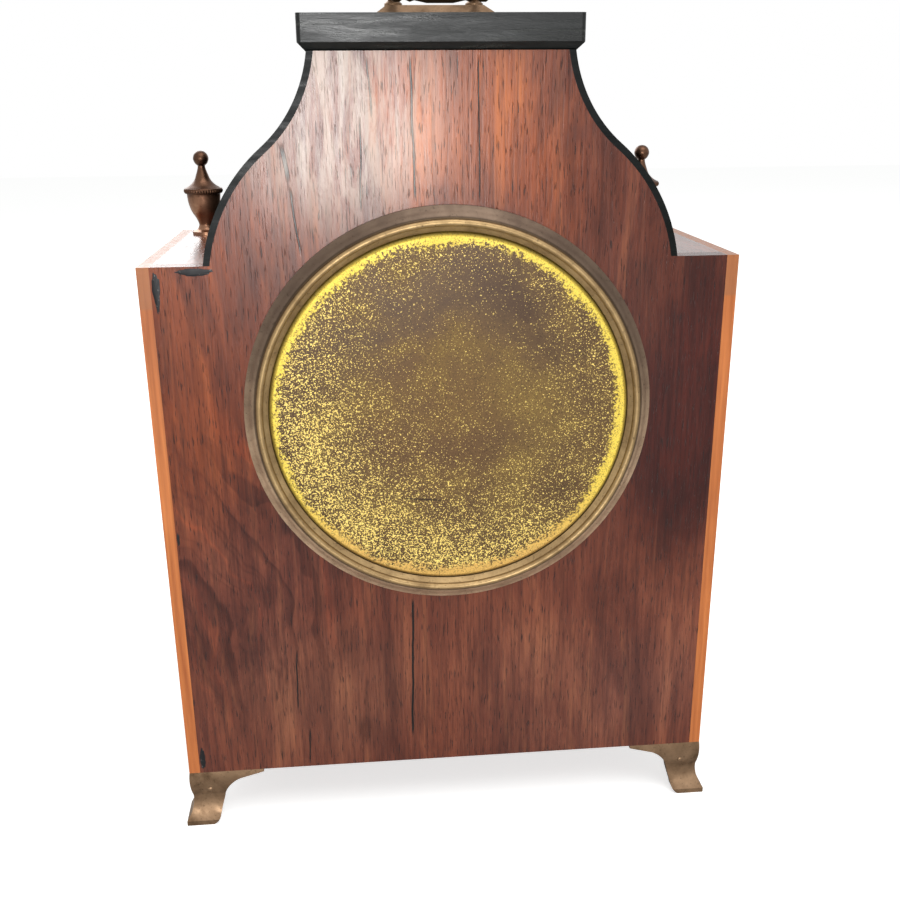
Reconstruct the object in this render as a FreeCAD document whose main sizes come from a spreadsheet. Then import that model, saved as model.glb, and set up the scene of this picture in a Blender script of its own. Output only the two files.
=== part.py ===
import FreeCAD, Part
import Sketcher
import math
import os
import re
from FreeCAD import Placement, Rotation, Vector

# A small bracket clock, millimetres. +Z is up, the dial faces -Y, the round brass cover faces +Y.
# The origin is on the floor, under the middle of the case.

doc = FreeCAD.newDocument("BracketClock")

# ---------------------------------------------------------------- driving dimensions
SIZES = {
    # case
    "half_width": 83.0, "half_depth": 42.0, "foot_height": 18.5, "shoulder": 178.6,
    "board": 6.0, "string": 3.4, "veneer": 1.8, "shoulder_board": 4.0,
    "neck_half": 34.9, "neck_top": 232.5, "lean_top": 8.0, "slope": 50.4, "lean_foot": 9.0,
    "hollow": 37.2, "swell": 49.2, "top_board": 6.0,
    "cap_half": 37.1, "cap_top": 241.4, "cap_over": 1.5, "cap_chamfer": 2.0, "cap_corner": 1.2,
    # round openings, their brass rings and the movement share one centre
    "centre_x": -1.1, "centre_z": 135.5, "opening": 53.0, "ring_foot": 58.3, "bead": 53.9,
    "proud": 4.5, "lid": 51.4, "lid_bore": 51.45, "lid_proud": 2.8, "lid_skirt": 5.5, "sheet": 0.8,
    "ledge": 45.5, "ledge_depth": 6.0, "ledge_sheet": 1.2, "flange": 0.9, "spigot": 52.9, "strap_screw": 48.8,
    # dial and hands
    "dial": 50.4, "dial_face": -39.2, "dial_sheet": 1.2, "glass": 49.3, "seat_flange": -38.0,
    "hinge_out": 59.8, "hinge_y": -43.4, "hinge_barrel": 1.25, "hinge_pin": 0.5,
    "minute_length": 41.0, "hour_length": 27.0,
    # movement frame
    "plate": 43.0, "plate_sheet": 2.0, "front_plate": -33.0, "back_plate": -13.0,
    "pillar_ring": 37.5, "pillar": 2.6, "pillar_end": 1.25, "stud": 0.8,
    # wheel work: module of each mesh, wheel and pinion teeth
    "barrel_module": 0.63, "barrel_teeth": 60, "centre_leaves": 10,
    "centre_module": 0.53, "centre_teeth": 48, "third_leaves": 6,
    "third_module": 0.50, "third_teeth": 45, "fourth_leaves": 6,
    "fourth_module": 0.36, "fourth_teeth": 60, "escape_leaves": 6,
    "motion_module": 0.42, "minute_teeth": 30, "cannon_leaves": 10, "hour_teeth": 32, "minute_leaves": 8,
    "depth_slack": 0.03, "arbor": 0.8, "pivot": 0.5, "fit": 0.05,
    "escape": 5.5, "balance": 8.0, "drum": 17.0, "barrel_arbor": 2.0, "key_square": 2.6,
    "click_at": 11.6, "click_turn": 20.0,
    # handle and finials
    "plate_half": 20.0, "plate_deep": 11.0, "plate_tall": 4.6, "bail_half": 11.8, "bail_rod": 1.5,
    "post_stem": 1.4, "pivot_up": 10.1, "bail_reach": 22.0, "bail_drop": 4.1, "grip": 2.2,
    "finial_x": 73.5, "finial_y": -30.5, "ball": 2.5, "ball_neck": 1.25, "ball_foot": 22.0,
    # feet
    "foot_reach": 23.4, "foot_sheet": 2.6, "flare": 1.9, "screw_inset": 7.6, "foot_lug": 2.0,
}

sheet = doc.addObject("Spreadsheet::Sheet", "Sizes")
for line, (alias, amount) in enumerate(SIZES.items(), start=1):
    sheet.set("A%d" % line, alias)
    sheet.set("B%d" % line, str(amount))
    sheet.setAlias("B%d" % line, alias)
doc.recompute()

# shapes that the sizes give
NECK_MID_X = "(neck_half + hollow*(cos(lean_top) - cos(slope)))"
NECK_MID_Z = "(neck_top - hollow*(sin(slope) - sin(lean_top)))"
NECK_FOOT_X = "(neck_half + hollow*(cos(lean_top) - cos(slope)) + swell*(cos(lean_foot) - cos(slope)))"
BACK = "half_depth"
FRONT = "-half_depth"
UP_TO_BACK = Rotation(Vector(1, 0, 0), -90)
UP_TO_FRONT = Rotation(Vector(1, 0, 0), 90)
UPRIGHT = Rotation()
parts = []


# ---------------------------------------------------------------- small helpers
def link(text):
    """The expression text with each size's name pointed at its cell."""
    def cell(word):
        return "Sizes." + word.group() if word.group() in SIZES else word.group()
    return re.sub(r"[a-z][a-z_0-9]*", cell, str(text))


def number(text):
    """The value of an expression over the sizes."""
    return float(sheet.evalExpression(link(text)))


def minus(text):
    """The same length on the other side of the middle."""
    return "-(%s)" % text


def place(thing, at, turn=UPRIGHT):
    """Sets an object's placement and ties its position to the sizes."""
    thing.Placement = Placement(Vector(*[number(a) for a in at]), turn)
    for axis, text in zip("xyz", at):
        thing.setExpression("Placement.Base." + axis, link(text))


def keep(thing, label):
    """Names a sub-part; the name is also its file's name."""
    thing.Label = label
    parts.append(thing)
    return thing


def new_body(label):
    return keep(doc.addObject("PartDesign::Body", "B_" + label), label)


def new_sketch(body, name, plane):
    drawing = body.newObject("Sketcher::SketchObject", name)
    origin_plane = next(f for f in body.Origin.OriginFeatures if f.Role == plane + "_Plane")
    drawing.AttachmentSupport = [(origin_plane, "")]
    drawing.MapMode = "FlatFace"
    return drawing


def draw(drawing, points):
    """Closed outline through points (across, up) given as expressions.

    A third value is the radius of the arc to the next point, positive where it turns left.
    """
    count = len(points)
    first = drawing.GeometryCount
    spots = [Vector(number(p[0]), number(p[1]), 0) for p in points]
    bends = [number(p[2]) if len(p) > 2 else 0.0 for p in points]
    for i in range(count):
        a, b, bend = spots[i], spots[(i + 1) % count], bends[i]
        if not bend:
            drawing.addGeometry(Part.LineSegment(a, b), False)
            continue
        chord = b - a
        left = Vector(-chord.y, chord.x, 0).normalize()
        reach = math.sqrt(bend ** 2 - chord.Length ** 2 / 4)
        middle = (a + b) * 0.5 + left * math.copysign(reach, bend)
        circle = Part.Circle(middle, Vector(0, 0, 1), abs(bend))
        start, end = (a, b) if bend > 0 else (b, a)
        arc = Part.ArcOfCircle(circle, circle.parameter(start), circle.parameter(end))
        drawing.addGeometry(arc, False)
    heads = [2 if bend < 0 else 1 for bend in bends]
    for i in range(count):
        after = (i + 1) % count
        drawing.addConstraint(
            Sketcher.Constraint("Coincident", first + i, 3 - heads[i], first + after, heads[after]))
    for i, point in enumerate(points):
        for kind, axis, amount, text in (("DistanceX", -2, spots[i].x, point[0]),
                                         ("DistanceY", -1, spots[i].y, point[1])):
            if abs(amount) < 1e-9:
                drawing.addConstraint(
                    Sketcher.Constraint("PointOnObject", first + i, heads[i], axis))
                continue
            rule = drawing.addConstraint(Sketcher.Constraint(kind, first + i, heads[i], amount))
            tie(drawing, rule, text)
        if bends[i]:
            rule = drawing.addConstraint(Sketcher.Constraint("Radius", first + i, abs(bends[i])))
            tie(drawing, rule, "abs(%s)" % point[2])


def tie(drawing, rule, text):
    """Ties one sketch dimension to the sizes, if its text names any."""
    if link(text) != str(text):
        drawing.setExpression("Constraints[%d]" % rule, link(text))


def draw_hole(drawing, across, up, radius):
    """A circle whose centre and radius follow the sizes."""
    centre = Vector(number(across), number(up), 0)
    index = drawing.addGeometry(Part.Circle(centre, Vector(0, 0, 1), number(radius)), False)
    for kind, axis, amount, text in (("DistanceX", -2, centre.x, across),
                                     ("DistanceY", -1, centre.y, up)):
        if abs(amount) < 1e-9:
            drawing.addConstraint(Sketcher.Constraint("PointOnObject", index, 3, axis))
            continue
        tie(drawing, drawing.addConstraint(Sketcher.Constraint(kind, index, 3, amount)), text)
    rule = drawing.addConstraint(Sketcher.Constraint("Radius", index, number(radius)))
    tie(drawing, rule, radius)


def board(label, plane, points, thick, at, holes=()):
    """A flat piece: an outline with round holes, padded to its thickness."""
    body = new_body(label)
    outline = new_sketch(body, "Outline_" + label, plane)
    draw(outline, points)
    for hole in holes:
        draw_hole(outline, *hole)
    pad = body.newObject("PartDesign::Pad", "Pad_" + label)
    pad.Profile = outline
    pad.setExpression("Length", link(thick))
    place(body, at)
    return body


def turned(label, points, at, turn=UPRIGHT):
    """A round piece: half a section (radius, height) turned about its height."""
    body = doc.addObject("PartDesign::Body", "B_" + label)
    section = new_sketch(body, "Section_" + label, "XZ")
    draw(section, points)
    spun = body.newObject("PartDesign::Revolution", "Turned_" + label)
    spun.Profile = section
    spun.ReferenceAxis = (section, ["V_Axis"])
    spun.Angle = 360
    place(body, at, turn)
    return body


def turned_part(label, points, at, turn=UPRIGHT):
    """A round piece that is a sub-part as it is."""
    return keep(turned(label, points, at, turn), label)


def reworked(label, blank, added=(), cut=()):
    """A turned blank with pieces brazed on and holes cut, all in the clock's own frame."""
    doc.recompute()
    shape = blank.Shape.copy()
    if added:
        shape = fused([shape] + list(added))
    if cut:
        shape = shape.cut(Part.makeCompound(list(cut)))
    thing = doc.addObject("Part::Feature", "F_" + label)
    thing.Shape = shape
    return keep(thing, label)


def box(label, across, along, up):
    """A square-edged piece between pairs of expressions on X, Y and Z."""
    block = doc.addObject("Part::Box", "Box_" + label)
    for side, (low, high) in zip(("Length", "Width", "Height"), (across, along, up)):
        block.setExpression(side, link("(%s) - (%s)" % (high, low)))
    place(block, (across[0], along[0], up[0]))
    return keep(block, label)


def feature(label, shape, at=("0", "0", "0"), turn=UPRIGHT):
    """A piece whose form comes from a formula."""
    thing = doc.addObject("Part::Feature", "F_" + label)
    thing.Shape = Part.makeCompound(shape.Solids)
    place(thing, at, turn)
    return keep(thing, label)


def rod(radius, low, high, at=(0, 0)):
    """A plain round bar along the height of a formula-made piece."""
    return Part.makeCylinder(radius, high - low, Vector(at[0], at[1], low))


def tube(outer, inner, low, high):
    return rod(outer, low, high).cut(rod(inner, low - 1, high + 1))


def slab(points, low, high):
    """A flat-sided block over an outline of (x, y) points."""
    wire = Part.makePolygon([Vector(x, y, low) for x, y in points + points[:1]])
    return Part.Face(wire).extrude(Vector(0, 0, high - low))


def lathe(section):
    """A solid of revolution from (radius, height) points."""
    wire = Part.makePolygon([Vector(r, 0, z) for r, z in section + section[:1]])
    return Part.Face(wire).revolve(Vector(0, 0, 0), Vector(0, 0, 1), 360)


def fused(shapes):
    return shapes[0].multiFuse(shapes[1:]).removeSplitter()


# ---------------------------------------------------------------- wooden case
def shouldered_outline(inset):
    """Front and back boards: square shoulders and a neck whose sides are two tangent arcs."""
    wide = "(half_width - string)"
    foot_x = "(%s - %s)" % (NECK_FOOT_X, inset)
    mid_x = "(%s - %s*cos(slope))" % (NECK_MID_X, inset)
    mid_z = "(%s - %s*sin(slope))" % (NECK_MID_Z, inset)
    top_x = "(neck_half - %s)" % inset
    hollow = "(hollow + %s)" % inset
    swell = "(swell - %s)" % inset
    return [
        (minus(wide), "foot_height"), (wide, "foot_height"), (wide, "shoulder"),
        (foot_x, "shoulder", swell), (mid_x, mid_z, minus(hollow)), (top_x, "neck_top"),
        (minus(top_x), "neck_top", minus(hollow)), (minus(mid_x), mid_z, swell),
        (minus(foot_x), "shoulder"), (minus(wide), "shoulder"),
    ]


def make_boards():
    opening = [("centre_x", "centre_z", "opening")]
    outline = shouldered_outline("veneer")
    board("back_board", "XZ", outline, "board", ("0", BACK, "0"), opening)
    board("front_board", "XZ", outline, "board", ("0", "-half_depth + board", "0"), opening)
    inner = ("-(half_depth - board)", "half_depth - board")
    wide = "half_width - string"
    box("base_board", (minus(wide), wide), inner, ("foot_height", "foot_height + board"))
    box("top_board", ("-(neck_half - veneer)", "neck_half - veneer"), inner,
        ("neck_top - top_board", "neck_top"))
    between = ("-(half_depth - string)", "half_depth - string")
    for side, low, high in (("left", minus("half_width"), minus(wide)),
                            ("right", wide, "half_width")):
        box("side_" + side, (low, high), between, ("foot_height", "shoulder - string"))
    for side, low, high in (("left", minus(wide), "-%s + 4" % NECK_FOOT_X),
                            ("right", "%s - 4" % NECK_FOOT_X, wide)):
        box("shoulder_board_" + side, (low, high), inner,
            ("shoulder - shoulder_board", "shoulder"))


def make_strings():
    """Boxwood strings let into the four corners and along the shoulders' outer edges."""
    wide, edge = number("half_width"), number("string")
    deep, low, high = number("half_depth"), number("foot_height"), number("shoulder")
    corners = []
    for x in (-wide, wide - edge):
        for y in (-deep, deep - edge):
            corners.append(Part.makeBox(edge, edge, high - edge - low, Vector(x, y, low)))
    feature("corner_strings", Part.makeCompound(corners))
    rails = [Part.makeBox(edge, 2 * deep, edge, Vector(x, -deep, high - edge))
             for x in (-wide, wide - edge)]
    feature("shoulder_strings", Part.makeCompound(rails))


def make_neck_sides():
    """Ebonised veneer bent over the neck's hollow and swelling."""
    for side, sign in (("left", "-"), ("right", "")):
        def at(x, z, bend=None):
            """One corner of the strip, mirrored for the left side."""
            spot = (sign + x, z)
            if bend is None:
                return spot
            return spot + ((minus(bend),) if sign else (bend,))
        inner_mid_x = "(%s - veneer*cos(slope))" % NECK_MID_X
        inner_mid_z = "(%s - veneer*sin(slope))" % NECK_MID_Z
        strip = [
            at(NECK_FOOT_X, "shoulder", "swell"), at(NECK_MID_X, NECK_MID_Z, "(-hollow)"),
            at("(neck_half)", "neck_top"),
            at("(neck_half - veneer)", "neck_top", "(hollow + veneer)"),
            at(inner_mid_x, inner_mid_z, "(-(swell - veneer))"),
            at("(%s - veneer)" % NECK_FOOT_X, "shoulder"),
        ]
        board("neck_side_" + side, "XZ", strip, "2*half_depth", ("0", BACK, "0"))


def make_cap():
    """Ebonised cap: a slab with a bevel under all four sides."""
    body = new_body("cap")
    outline = new_sketch(body, "Outline_cap", "XY")
    half, deep = "cap_half", "(half_depth + cap_over)"
    draw(outline, [(minus(half), minus(deep)), (half, minus(deep)), (half, deep), (minus(half), deep)])
    pad = body.newObject("PartDesign::Pad", "Slab")
    pad.Profile = outline
    pad.setExpression("Length", link("cap_top - neck_top"))
    place(body, ("0", "0", "neck_top"))
    doc.recompute()
    low = [("Edge%d" % n) for n, edge in enumerate(pad.Shape.Edges, start=1)
           if edge.BoundBox.ZMax < 0.01]
    bevel = body.newObject("PartDesign::Chamfer", "Bevel")
    bevel.Base = (pad, low)
    bevel.setExpression("Size", link("cap_chamfer"))
    doc.recompute()
    upright = [("Edge%d" % n) for n, edge in enumerate(bevel.Shape.Edges, start=1)
               if edge.BoundBox.ZLength > pad.Shape.BoundBox.ZLength / 2 and edge.BoundBox.XLength < 0.01
               and edge.BoundBox.YLength < 0.01]
    corner = body.newObject("PartDesign::Fillet", "Corner")
    corner.Base = (bevel, upright)
    corner.setExpression("Radius", link("cap_corner"))


def make_glue_blocks():
    """Three-cornered softwood blocks in the four inner corners over the base."""
    wide, deep = number("half_width - string"), number("half_depth - board")
    low = number("foot_height + board")
    leg, tall = 11.0, 34.0
    blocks = []
    for sx in (-1, 1):
        for sy in (-1, 1):
            corner = [(sx * wide, sy * deep), (sx * (wide - leg), sy * deep),
                      (sx * wide, sy * (deep - leg))]
            blocks.append(slab(corner, low, low + tall))
    feature("glue_blocks", Part.makeCompound(blocks))


# ---------------------------------------------------------------- feet, finials and handle
def ogee_edge(tall):
    """A foot's outer edge from the case down: a slight swelling, then a sweep out to the toe."""
    flare, toe_tall = number("flare"), 1.6
    knee = Vector(-0.5, 0, 10.0)
    swelling = Part.Arc(Vector(0, 0, tall), Vector(0.2, 0, 14.5), knee).toShape()
    sweep = Part.Arc(knee, Vector(0.1, 0, 5.0), Vector(flare, 0, toe_tall)).toShape()
    toe = Part.LineSegment(Vector(flare, 0, toe_tall), Vector(flare, 0, 0)).toShape()
    return [swelling, sweep, toe]


def foot_wing(tall):
    """One wing of a bracket foot, its corner at the origin and its face towards +Y."""
    reach, thick, flare = number("foot_reach"), number("foot_sheet"), number("flare")
    # the inner edge, from the pad that stands on the table up to the wing's thin tip
    pad, ankle, spring, brow = (Vector(-x, 0, z) for x, z in ((6.6, 0), (9.0, 3.7), (10.4, 8.6), (16.1, 15.7)))
    tip = Vector(-reach, 0, tall - 0.9)
    bracket = ogee_edge(tall) + [
        Part.LineSegment(Vector(flare, 0, 0), pad).toShape(),
        Part.Arc(pad, Vector(-8.3, 0, 1.5), ankle).toShape(),
        Part.LineSegment(ankle, spring).toShape(),
        Part.Arc(spring, Vector(-12.2, 0, 12.9), brow).toShape(),
        Part.LineSegment(brow, tip).toShape(),
        Part.LineSegment(tip, Vector(-reach, 0, tall)).toShape(),
        Part.LineSegment(Vector(-reach, 0, tall), Vector(0, 0, tall)).toShape(),
    ]
    face = Part.Face(Part.Wire(Part.__sortEdges__(bracket)))
    front = face.extrude(Vector(0, 40, 0))
    front.translate(Vector(0, -30, 0))
    outer = ogee_edge(tall)
    inner = [edge.copy() for edge in outer]
    for edge in inner:
        edge.translate(Vector(-thick, 0, 0))
    ends = [Part.LineSegment(Vector(0, 0, tall), Vector(-thick, 0, tall)).toShape(),
            Part.LineSegment(Vector(flare, 0, 0), Vector(flare - thick, 0, 0)).toShape()]
    profile = Part.Face(Part.Wire(Part.__sortEdges__(outer + inner + ends)))
    shell = profile.extrude(Vector(0, 40, 0))
    shell.translate(Vector(0, -10, 0))
    shell.rotate(Vector(0, 0, 0), Vector(0, 0, 1), 90)
    return front.common(shell)


def make_feet():
    """Cast brass bracket feet: two wings mitred at the corner and a lug for the screw."""
    tall = number("foot_height")
    wing = foot_wing(tall)
    swapped = wing.mirror(Vector(0, 0, 0), Vector(1, -1, 0))
    near, far, thick, clear_hole = 2.0, 17.0, number("foot_lug"), 1.3
    lug = slab([(-near, -near), (-far, -near), (-near, -far)], tall - thick, tall)
    foot = fused([wing, swapped, lug])
    inset = -number("screw_inset")
    foot = foot.cut(rod(clear_hole, tall - thick - 1, tall + 1, (inset, inset)))
    for side, sx in (("left", -1), ("right", 1)):
        for end, sy in (("front", -1), ("back", 1)):
            shape = foot.copy()
            if sx < 0:
                shape = shape.mirror(Vector(0, 0, 0), Vector(1, 0, 0))
            if sy < 0:
                shape = shape.mirror(Vector(0, 0, 0), Vector(0, 1, 0))
            at = ("half_width" if sx > 0 else "-half_width",
                  "half_depth" if sy > 0 else "-half_depth", "0")
            feature("foot_%s_%s" % (end, side), shape, at)


def make_foot_screws():
    """Brass wood screws, head down, that hold each foot's lug under the base board."""
    under_lug = number("foot_height - foot_lug")
    head, head_tall, shank, shank_long = 2.4, 1.2, 1.2, 7.0
    screws = []
    for sx in (-1, 1):
        for sy in (-1, 1):
            x = sx * number("half_width - screw_inset")
            y = sy * number("half_depth - screw_inset")
            screws.append(fused([rod(head, under_lug - head_tall, under_lug, (x, y)),
                                 rod(shank, under_lug, under_lug + shank_long, (x, y))]))
    feature("foot_screws", Part.makeCompound(screws))


def make_finials():
    """Covered urns: a ball, a hollow lid, a rim band, a bowl, a waist and a spreading base."""
    ball, neck = number("ball"), number("ball_neck")
    middle = number("ball_foot") + math.sqrt(ball ** 2 - neck ** 2)
    peg = [(0, -3), (1.2, -3), (1.2, 0)]
    base = [(4.55, 0), (4.55, 1), (2.3, 3.2)]
    bowl = [(4.6, 7.8), (5.5, 13.3)]
    rim_band = [(6.3, 13.3), (6.3, 14.7)]
    lid = [(5.4, 14.9), (3.3, 16.4), (1.9, 19.0)]
    knob = [(ball * math.sin(math.radians(a)), middle - ball * math.cos(math.radians(a)))
            for a in (30, 70, 110, 150)] + [(0, middle + ball)]
    urn = lathe(peg + base + bowl + rim_band + lid + knob)
    x, y, z = number("finial_x"), number("finial_y"), number("shoulder")
    urns = []
    for sign in (-1, 1):
        piece = urn.copy()
        piece.translate(Vector(sign * x, y, z))
        urns.append(piece)
    feature("finials", Part.makeCompound(urns))


def make_handle():
    """A bevelled brass plate, two turned posts and a folding bail with a turned grip."""
    wide, deep, tall = number("plate_half"), number("plate_deep"), number("plate_tall")
    rim, side_slope, end_slope = 1.0, 6.0, 5.0
    foot = Part.makeBox(2 * wide, 2 * deep, rim, Vector(-wide, -deep, 0))
    bevel = bevelled_block(wide - rim, deep - rim, rim, wide - side_slope, deep - end_slope, tall)
    stem_r, stem_hole = number("post_stem"), number("post_stem + 0.1")
    holes = [rod(stem_hole, -1, tall + 1, (s * number("bail_half"), 0)) for s in (-1, 1)]
    feature("handle_plate", fused([foot, bevel]).cut(Part.makeCompound(holes)),
            ("centre_x", "0", "cap_top"))

    pivot = number("pivot_up")
    stem = [(0, -4), (stem_r, -4), (stem_r, tall)]
    collar = [(2.6, tall), (2.6, tall + 0.8)]
    waist = [(1.5, tall + 1.7)]
    head = [(2.3, pivot - 2.4), (2.3, pivot + 1.7), (1.2, pivot + 2.7), (0, pivot + 2.7)]
    slot_wide, cross_hole, pin_radius, pin_long, past = 1.9, 0.6, 0.58, 4.2, 4.0
    posts = []
    for sign in (-1, 1):
        x = sign * number("bail_half")
        post = lathe(stem + collar + waist + head)
        post.translate(Vector(x, 0, 0))
        slot = Part.makeBox(slot_wide, 2 * past, 6, Vector(x - slot_wide / 2, -past, pivot - slot_wide))
        cross = Part.makeCylinder(cross_hole, 2 * past, Vector(x - past, 0, pivot), Vector(1, 0, 0))
        posts.append(post.cut(slot).cut(cross))
    feature("handle_posts", Part.makeCompound(posts), ("centre_x", "0", "cap_top"))

    pins = [Part.makeCylinder(pin_radius, pin_long,
                              Vector(s * number("bail_half") - pin_long / 2, 0, pivot),
                              Vector(1, 0, 0)) for s in (-1, 1)]
    feature("handle_pins", Part.makeCompound(pins), ("centre_x", "0", "cap_top"))
    feature("handle_bail", bail_shape(), ("centre_x", "0", "cap_top + pivot_up"))
    reach, drop = number("bail_reach"), number("bail_drop")
    thick = number("grip")
    grip = lathe([(0, -9.9), (1.15, -9.9), (1.9, -8.2), (1.5, -7.0), (thick, -3.6),
                  (thick, 3.6), (1.5, 7.0), (1.9, 8.2), (1.15, 9.9), (0, 9.9)])
    grip.rotate(Vector(0, 0, 0), Vector(0, 1, 0), 90)
    grip.translate(Vector(0, reach, -drop))
    feature("handle_grip", grip, ("centre_x", "0", "cap_top + pivot_up"))


def bevelled_block(wide, deep, low, top_wide, top_deep, high):
    """A flat-sided block whose four sides lean in from its foot to its top."""
    corners = ((-1, -1), (1, -1), (1, 1), (-1, 1))
    foot = [Vector(wide * x, deep * y, low) for x, y in corners]
    top = [Vector(top_wide * x, top_deep * y, high) for x, y in corners]
    sides = [[foot[k], foot[(k + 1) % 4], top[(k + 1) % 4], top[k]] for k in range(4)]
    faces = [Part.Face(Part.makePolygon(ring + ring[:1])) for ring in [foot, top] + sides]
    return Part.Solid(Part.Shell(faces))


def bail_shape():
    """Two flat-eyed arms that sweep back from the pivots to ball elbows at the grip's ends."""
    half, thick = number("bail_half"), 0.85
    eye_radius, pin_hole, arm_root, past = 1.8, 0.63, 0.8, 4.0
    reach, drop, thin = number("bail_reach"), number("bail_drop"), number("bail_rod")
    arms = []
    for sign in (-1, 1):
        eye = Part.makeCylinder(eye_radius, 2 * thick, Vector(-thick, 0, 0), Vector(1, 0, 0))
        start, end = Vector(0, 1.2, -0.25), Vector(0, reach, -drop)
        along = end - start
        arm = Part.makeCone(arm_root, thin, along.Length, start, along)
        elbow = lathe([(0, -1.8), (1.2, -1.8), (1.9, -0.8), (1.9, 0.8), (1.2, 1.8), (0, 1.8)])
        elbow.rotate(Vector(0, 0, 0), Vector(0, 1, 0), 90)
        elbow.translate(end)
        piece = fused([eye, arm, elbow])
        piece = piece.cut(Part.makeCylinder(pin_hole, 2 * past, Vector(-past, 0, 0), Vector(1, 0, 0)))
        piece.translate(Vector(sign * half, 0, 0))
        arms.append(piece)
    return Part.makeCompound(arms)


# ---------------------------------------------------------------- rear ring and cover
# the outer slope and bead that the rear ring and the bezel share: radius and height
BEAD = [("bead + 1.9", "1.9"), ("bead + 1.3", "proud - 1.3"), ("bead + 0.6", "proud"),
        ("bead - 0.7", "proud")]


def make_rear():
    """Spun brass ring round the opening and the push-fit lid that closes it."""
    at = ("centre_x", BACK, "centre_z")
    blank = turned("rear_ring_blank", [
        ("ledge", "-ledge_depth - ledge_sheet"), ("spigot", "-ledge_depth - ledge_sheet"), ("spigot", "0"),
        ("ring_foot", "0"), ("ring_foot", "flange")] + BEAD + [("bead - 1.4", "proud - 1.2"),
        ("lid_bore", "lid_proud - 0.6"), ("lid_bore", "-ledge_depth"), ("ledge", "-ledge_depth"),
    ], at, UP_TO_BACK)
    x, y, z = (number(a) for a in at)
    holes = [Part.makeCylinder(0.85, 12, Vector(x + sign * number("strap_screw"), y - 14, z),
                               Vector(0, 1, 0)) for sign in (-1, 1)]
    reworked("rear_ring", blank, cut=holes)
    turned_part("rear_cover", lid_section(), at, UP_TO_BACK)


def lid_section():
    """The lid: a flat disc with a rounded shoulder and a skirt."""
    return [
        ("0", "lid_proud"), ("0", "lid_proud - sheet"), ("lid - sheet", "lid_proud - sheet"),
        ("lid - sheet", "-lid_skirt"), ("lid", "-lid_skirt"), ("lid", "lid_proud - 1.2"),
        ("lid - 0.4", "lid_proud - 0.4"), ("lid - 1.2", "lid_proud"),
    ]


def make_straps():
    """Two brass straps that tie the front ring to the rear ring, and their screws."""
    inner, thick, wide = number("ledge"), 1.4, 8.0
    reach, hole_at = number("strap_screw") + 2.2, number("strap_screw")
    shank_radius, shank_hole = 0.8, 0.85
    low, high = number("seat_flange + 1.5"), number("half_depth - ledge_depth - ledge_sheet")
    straps, screws = [], []
    for sign in (-1, 1):
        bar = Part.makeBox(thick, high - low, wide, Vector(inner, low, -wide / 2))
        ears = [Part.makeBox(reach - inner, thick, wide, Vector(inner, y, -wide / 2))
                for y in (low, high - thick)]
        strap = fused([bar] + ears)
        strap = strap.cut(Part.makeCylinder(shank_hole, 6, Vector(hole_at, high - 3, 0), Vector(0, 1, 0)))
        shank = Part.makeCylinder(shank_radius, 4.4, Vector(hole_at, high - 2.6, 0), Vector(0, 1, 0))
        head = Part.makeCylinder(1.7, 1.0, Vector(hole_at, high + 1.2, 0), Vector(0, 1, 0))
        screw = shank.fuse(head)
        for shape, group in ((strap, straps), (screw, screws)):
            group.append(shape if sign > 0 else shape.mirror(Vector(0, 0, 0), Vector(1, 0, 0)))
    feature("straps", Part.makeCompound(straps), ("centre_x", "0", "centre_z"))
    feature("strap_screws", Part.makeCompound(screws), ("centre_x", "0", "centre_z"))


# ---------------------------------------------------------------- front: seat, bezel, glass, dial
def make_front():
    """The fixed seat holds the dial; the hinged bezel carries the glass."""
    at = ("centre_x", FRONT, "centre_z")
    seat = turned("bezel_seat_blank", [
        ("ledge - 5.5", "-5.5"), ("spigot", "-5.5"), ("spigot", "0"), ("ring_foot", "0"),
        ("ring_foot", "flange"), ("dial + 0.2", "flange"), ("dial + 0.2", "-4"), ("ledge - 5.5", "-4"),
    ], at, UP_TO_FRONT)
    ring = turned("bezel_blank", [
        ("glass + 0.2", "1.2"), ("ring_foot - 0.6", "1.2")] + BEAD + [("glass - 2", "2.3"),
        ("glass - 2", "1.85"), ("glass + 0.2", "1.85"),
    ], at, UP_TO_FRONT)
    x, y = number("centre_x + hinge_out"), number("hinge_y")
    z, front = number("centre_z"), number("-half_depth")

    barrel, pin, play = number("hinge_barrel"), number("hinge_pin"), number("fit")
    middle, inner, outer = 3.0, 3.2, 6.4

    def knuckle(low, high, radius=barrel):
        """A stretch of the upright hinge barrel, its height from the clock's centre line."""
        return Part.makeCylinder(radius, high - low, Vector(x, y, z + low))

    def leaf(low, high, near, thick):
        """A flat lug from the ring out to the hinge barrel."""
        reach = 3.0
        return Part.makeBox(reach, thick, high - low, Vector(x - reach, near - thick, z + low))

    pin_hole = knuckle(-8, 8, pin + play)
    fixed = [knuckle(inner, outer), knuckle(-outer, -inner),
             leaf(inner, outer, front - play, 0.85), leaf(-outer, -inner, front - play, 0.85)]
    reworked("bezel_seat", seat, fixed, [pin_hole])
    tab = Part.makeBox(3.4, 1.0, 5.0, Vector(number("centre_x") - 60.2, front - 2.3, z - 2.5))
    reworked("bezel", ring, [knuckle(-middle, middle), leaf(-middle, middle, front - 1.3, 1.0), tab],
             [pin_hole])
    feature("hinge_pin", knuckle(-outer - 0.2, outer + 0.2, pin))
    turned_part("bezel_glass", [
        ("0", "proud - 1"), ("26", "proud - 1"), ("glass - 2.2", "0.75"), ("glass", "0.75"),
        ("glass", "1.75"), ("glass - 2.2", "1.75"), ("26", "proud"), ("0", "proud"),
    ], at, UP_TO_FRONT)
    back_of_dial = "-dial_face - half_depth - dial_sheet"
    turned_part("dial", [
        ("1.9", back_of_dial), ("dial", back_of_dial), ("dial", "-dial_face - half_depth"),
        ("1.9", "-dial_face - half_depth"),
    ], at, UP_TO_FRONT)


# ---------------------------------------------------------------- movement
# The movement is drawn looking at the dial: x right, y up, and depth counted towards the dial.
BEHIND = ("centre_x", "0", "centre_z")


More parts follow.
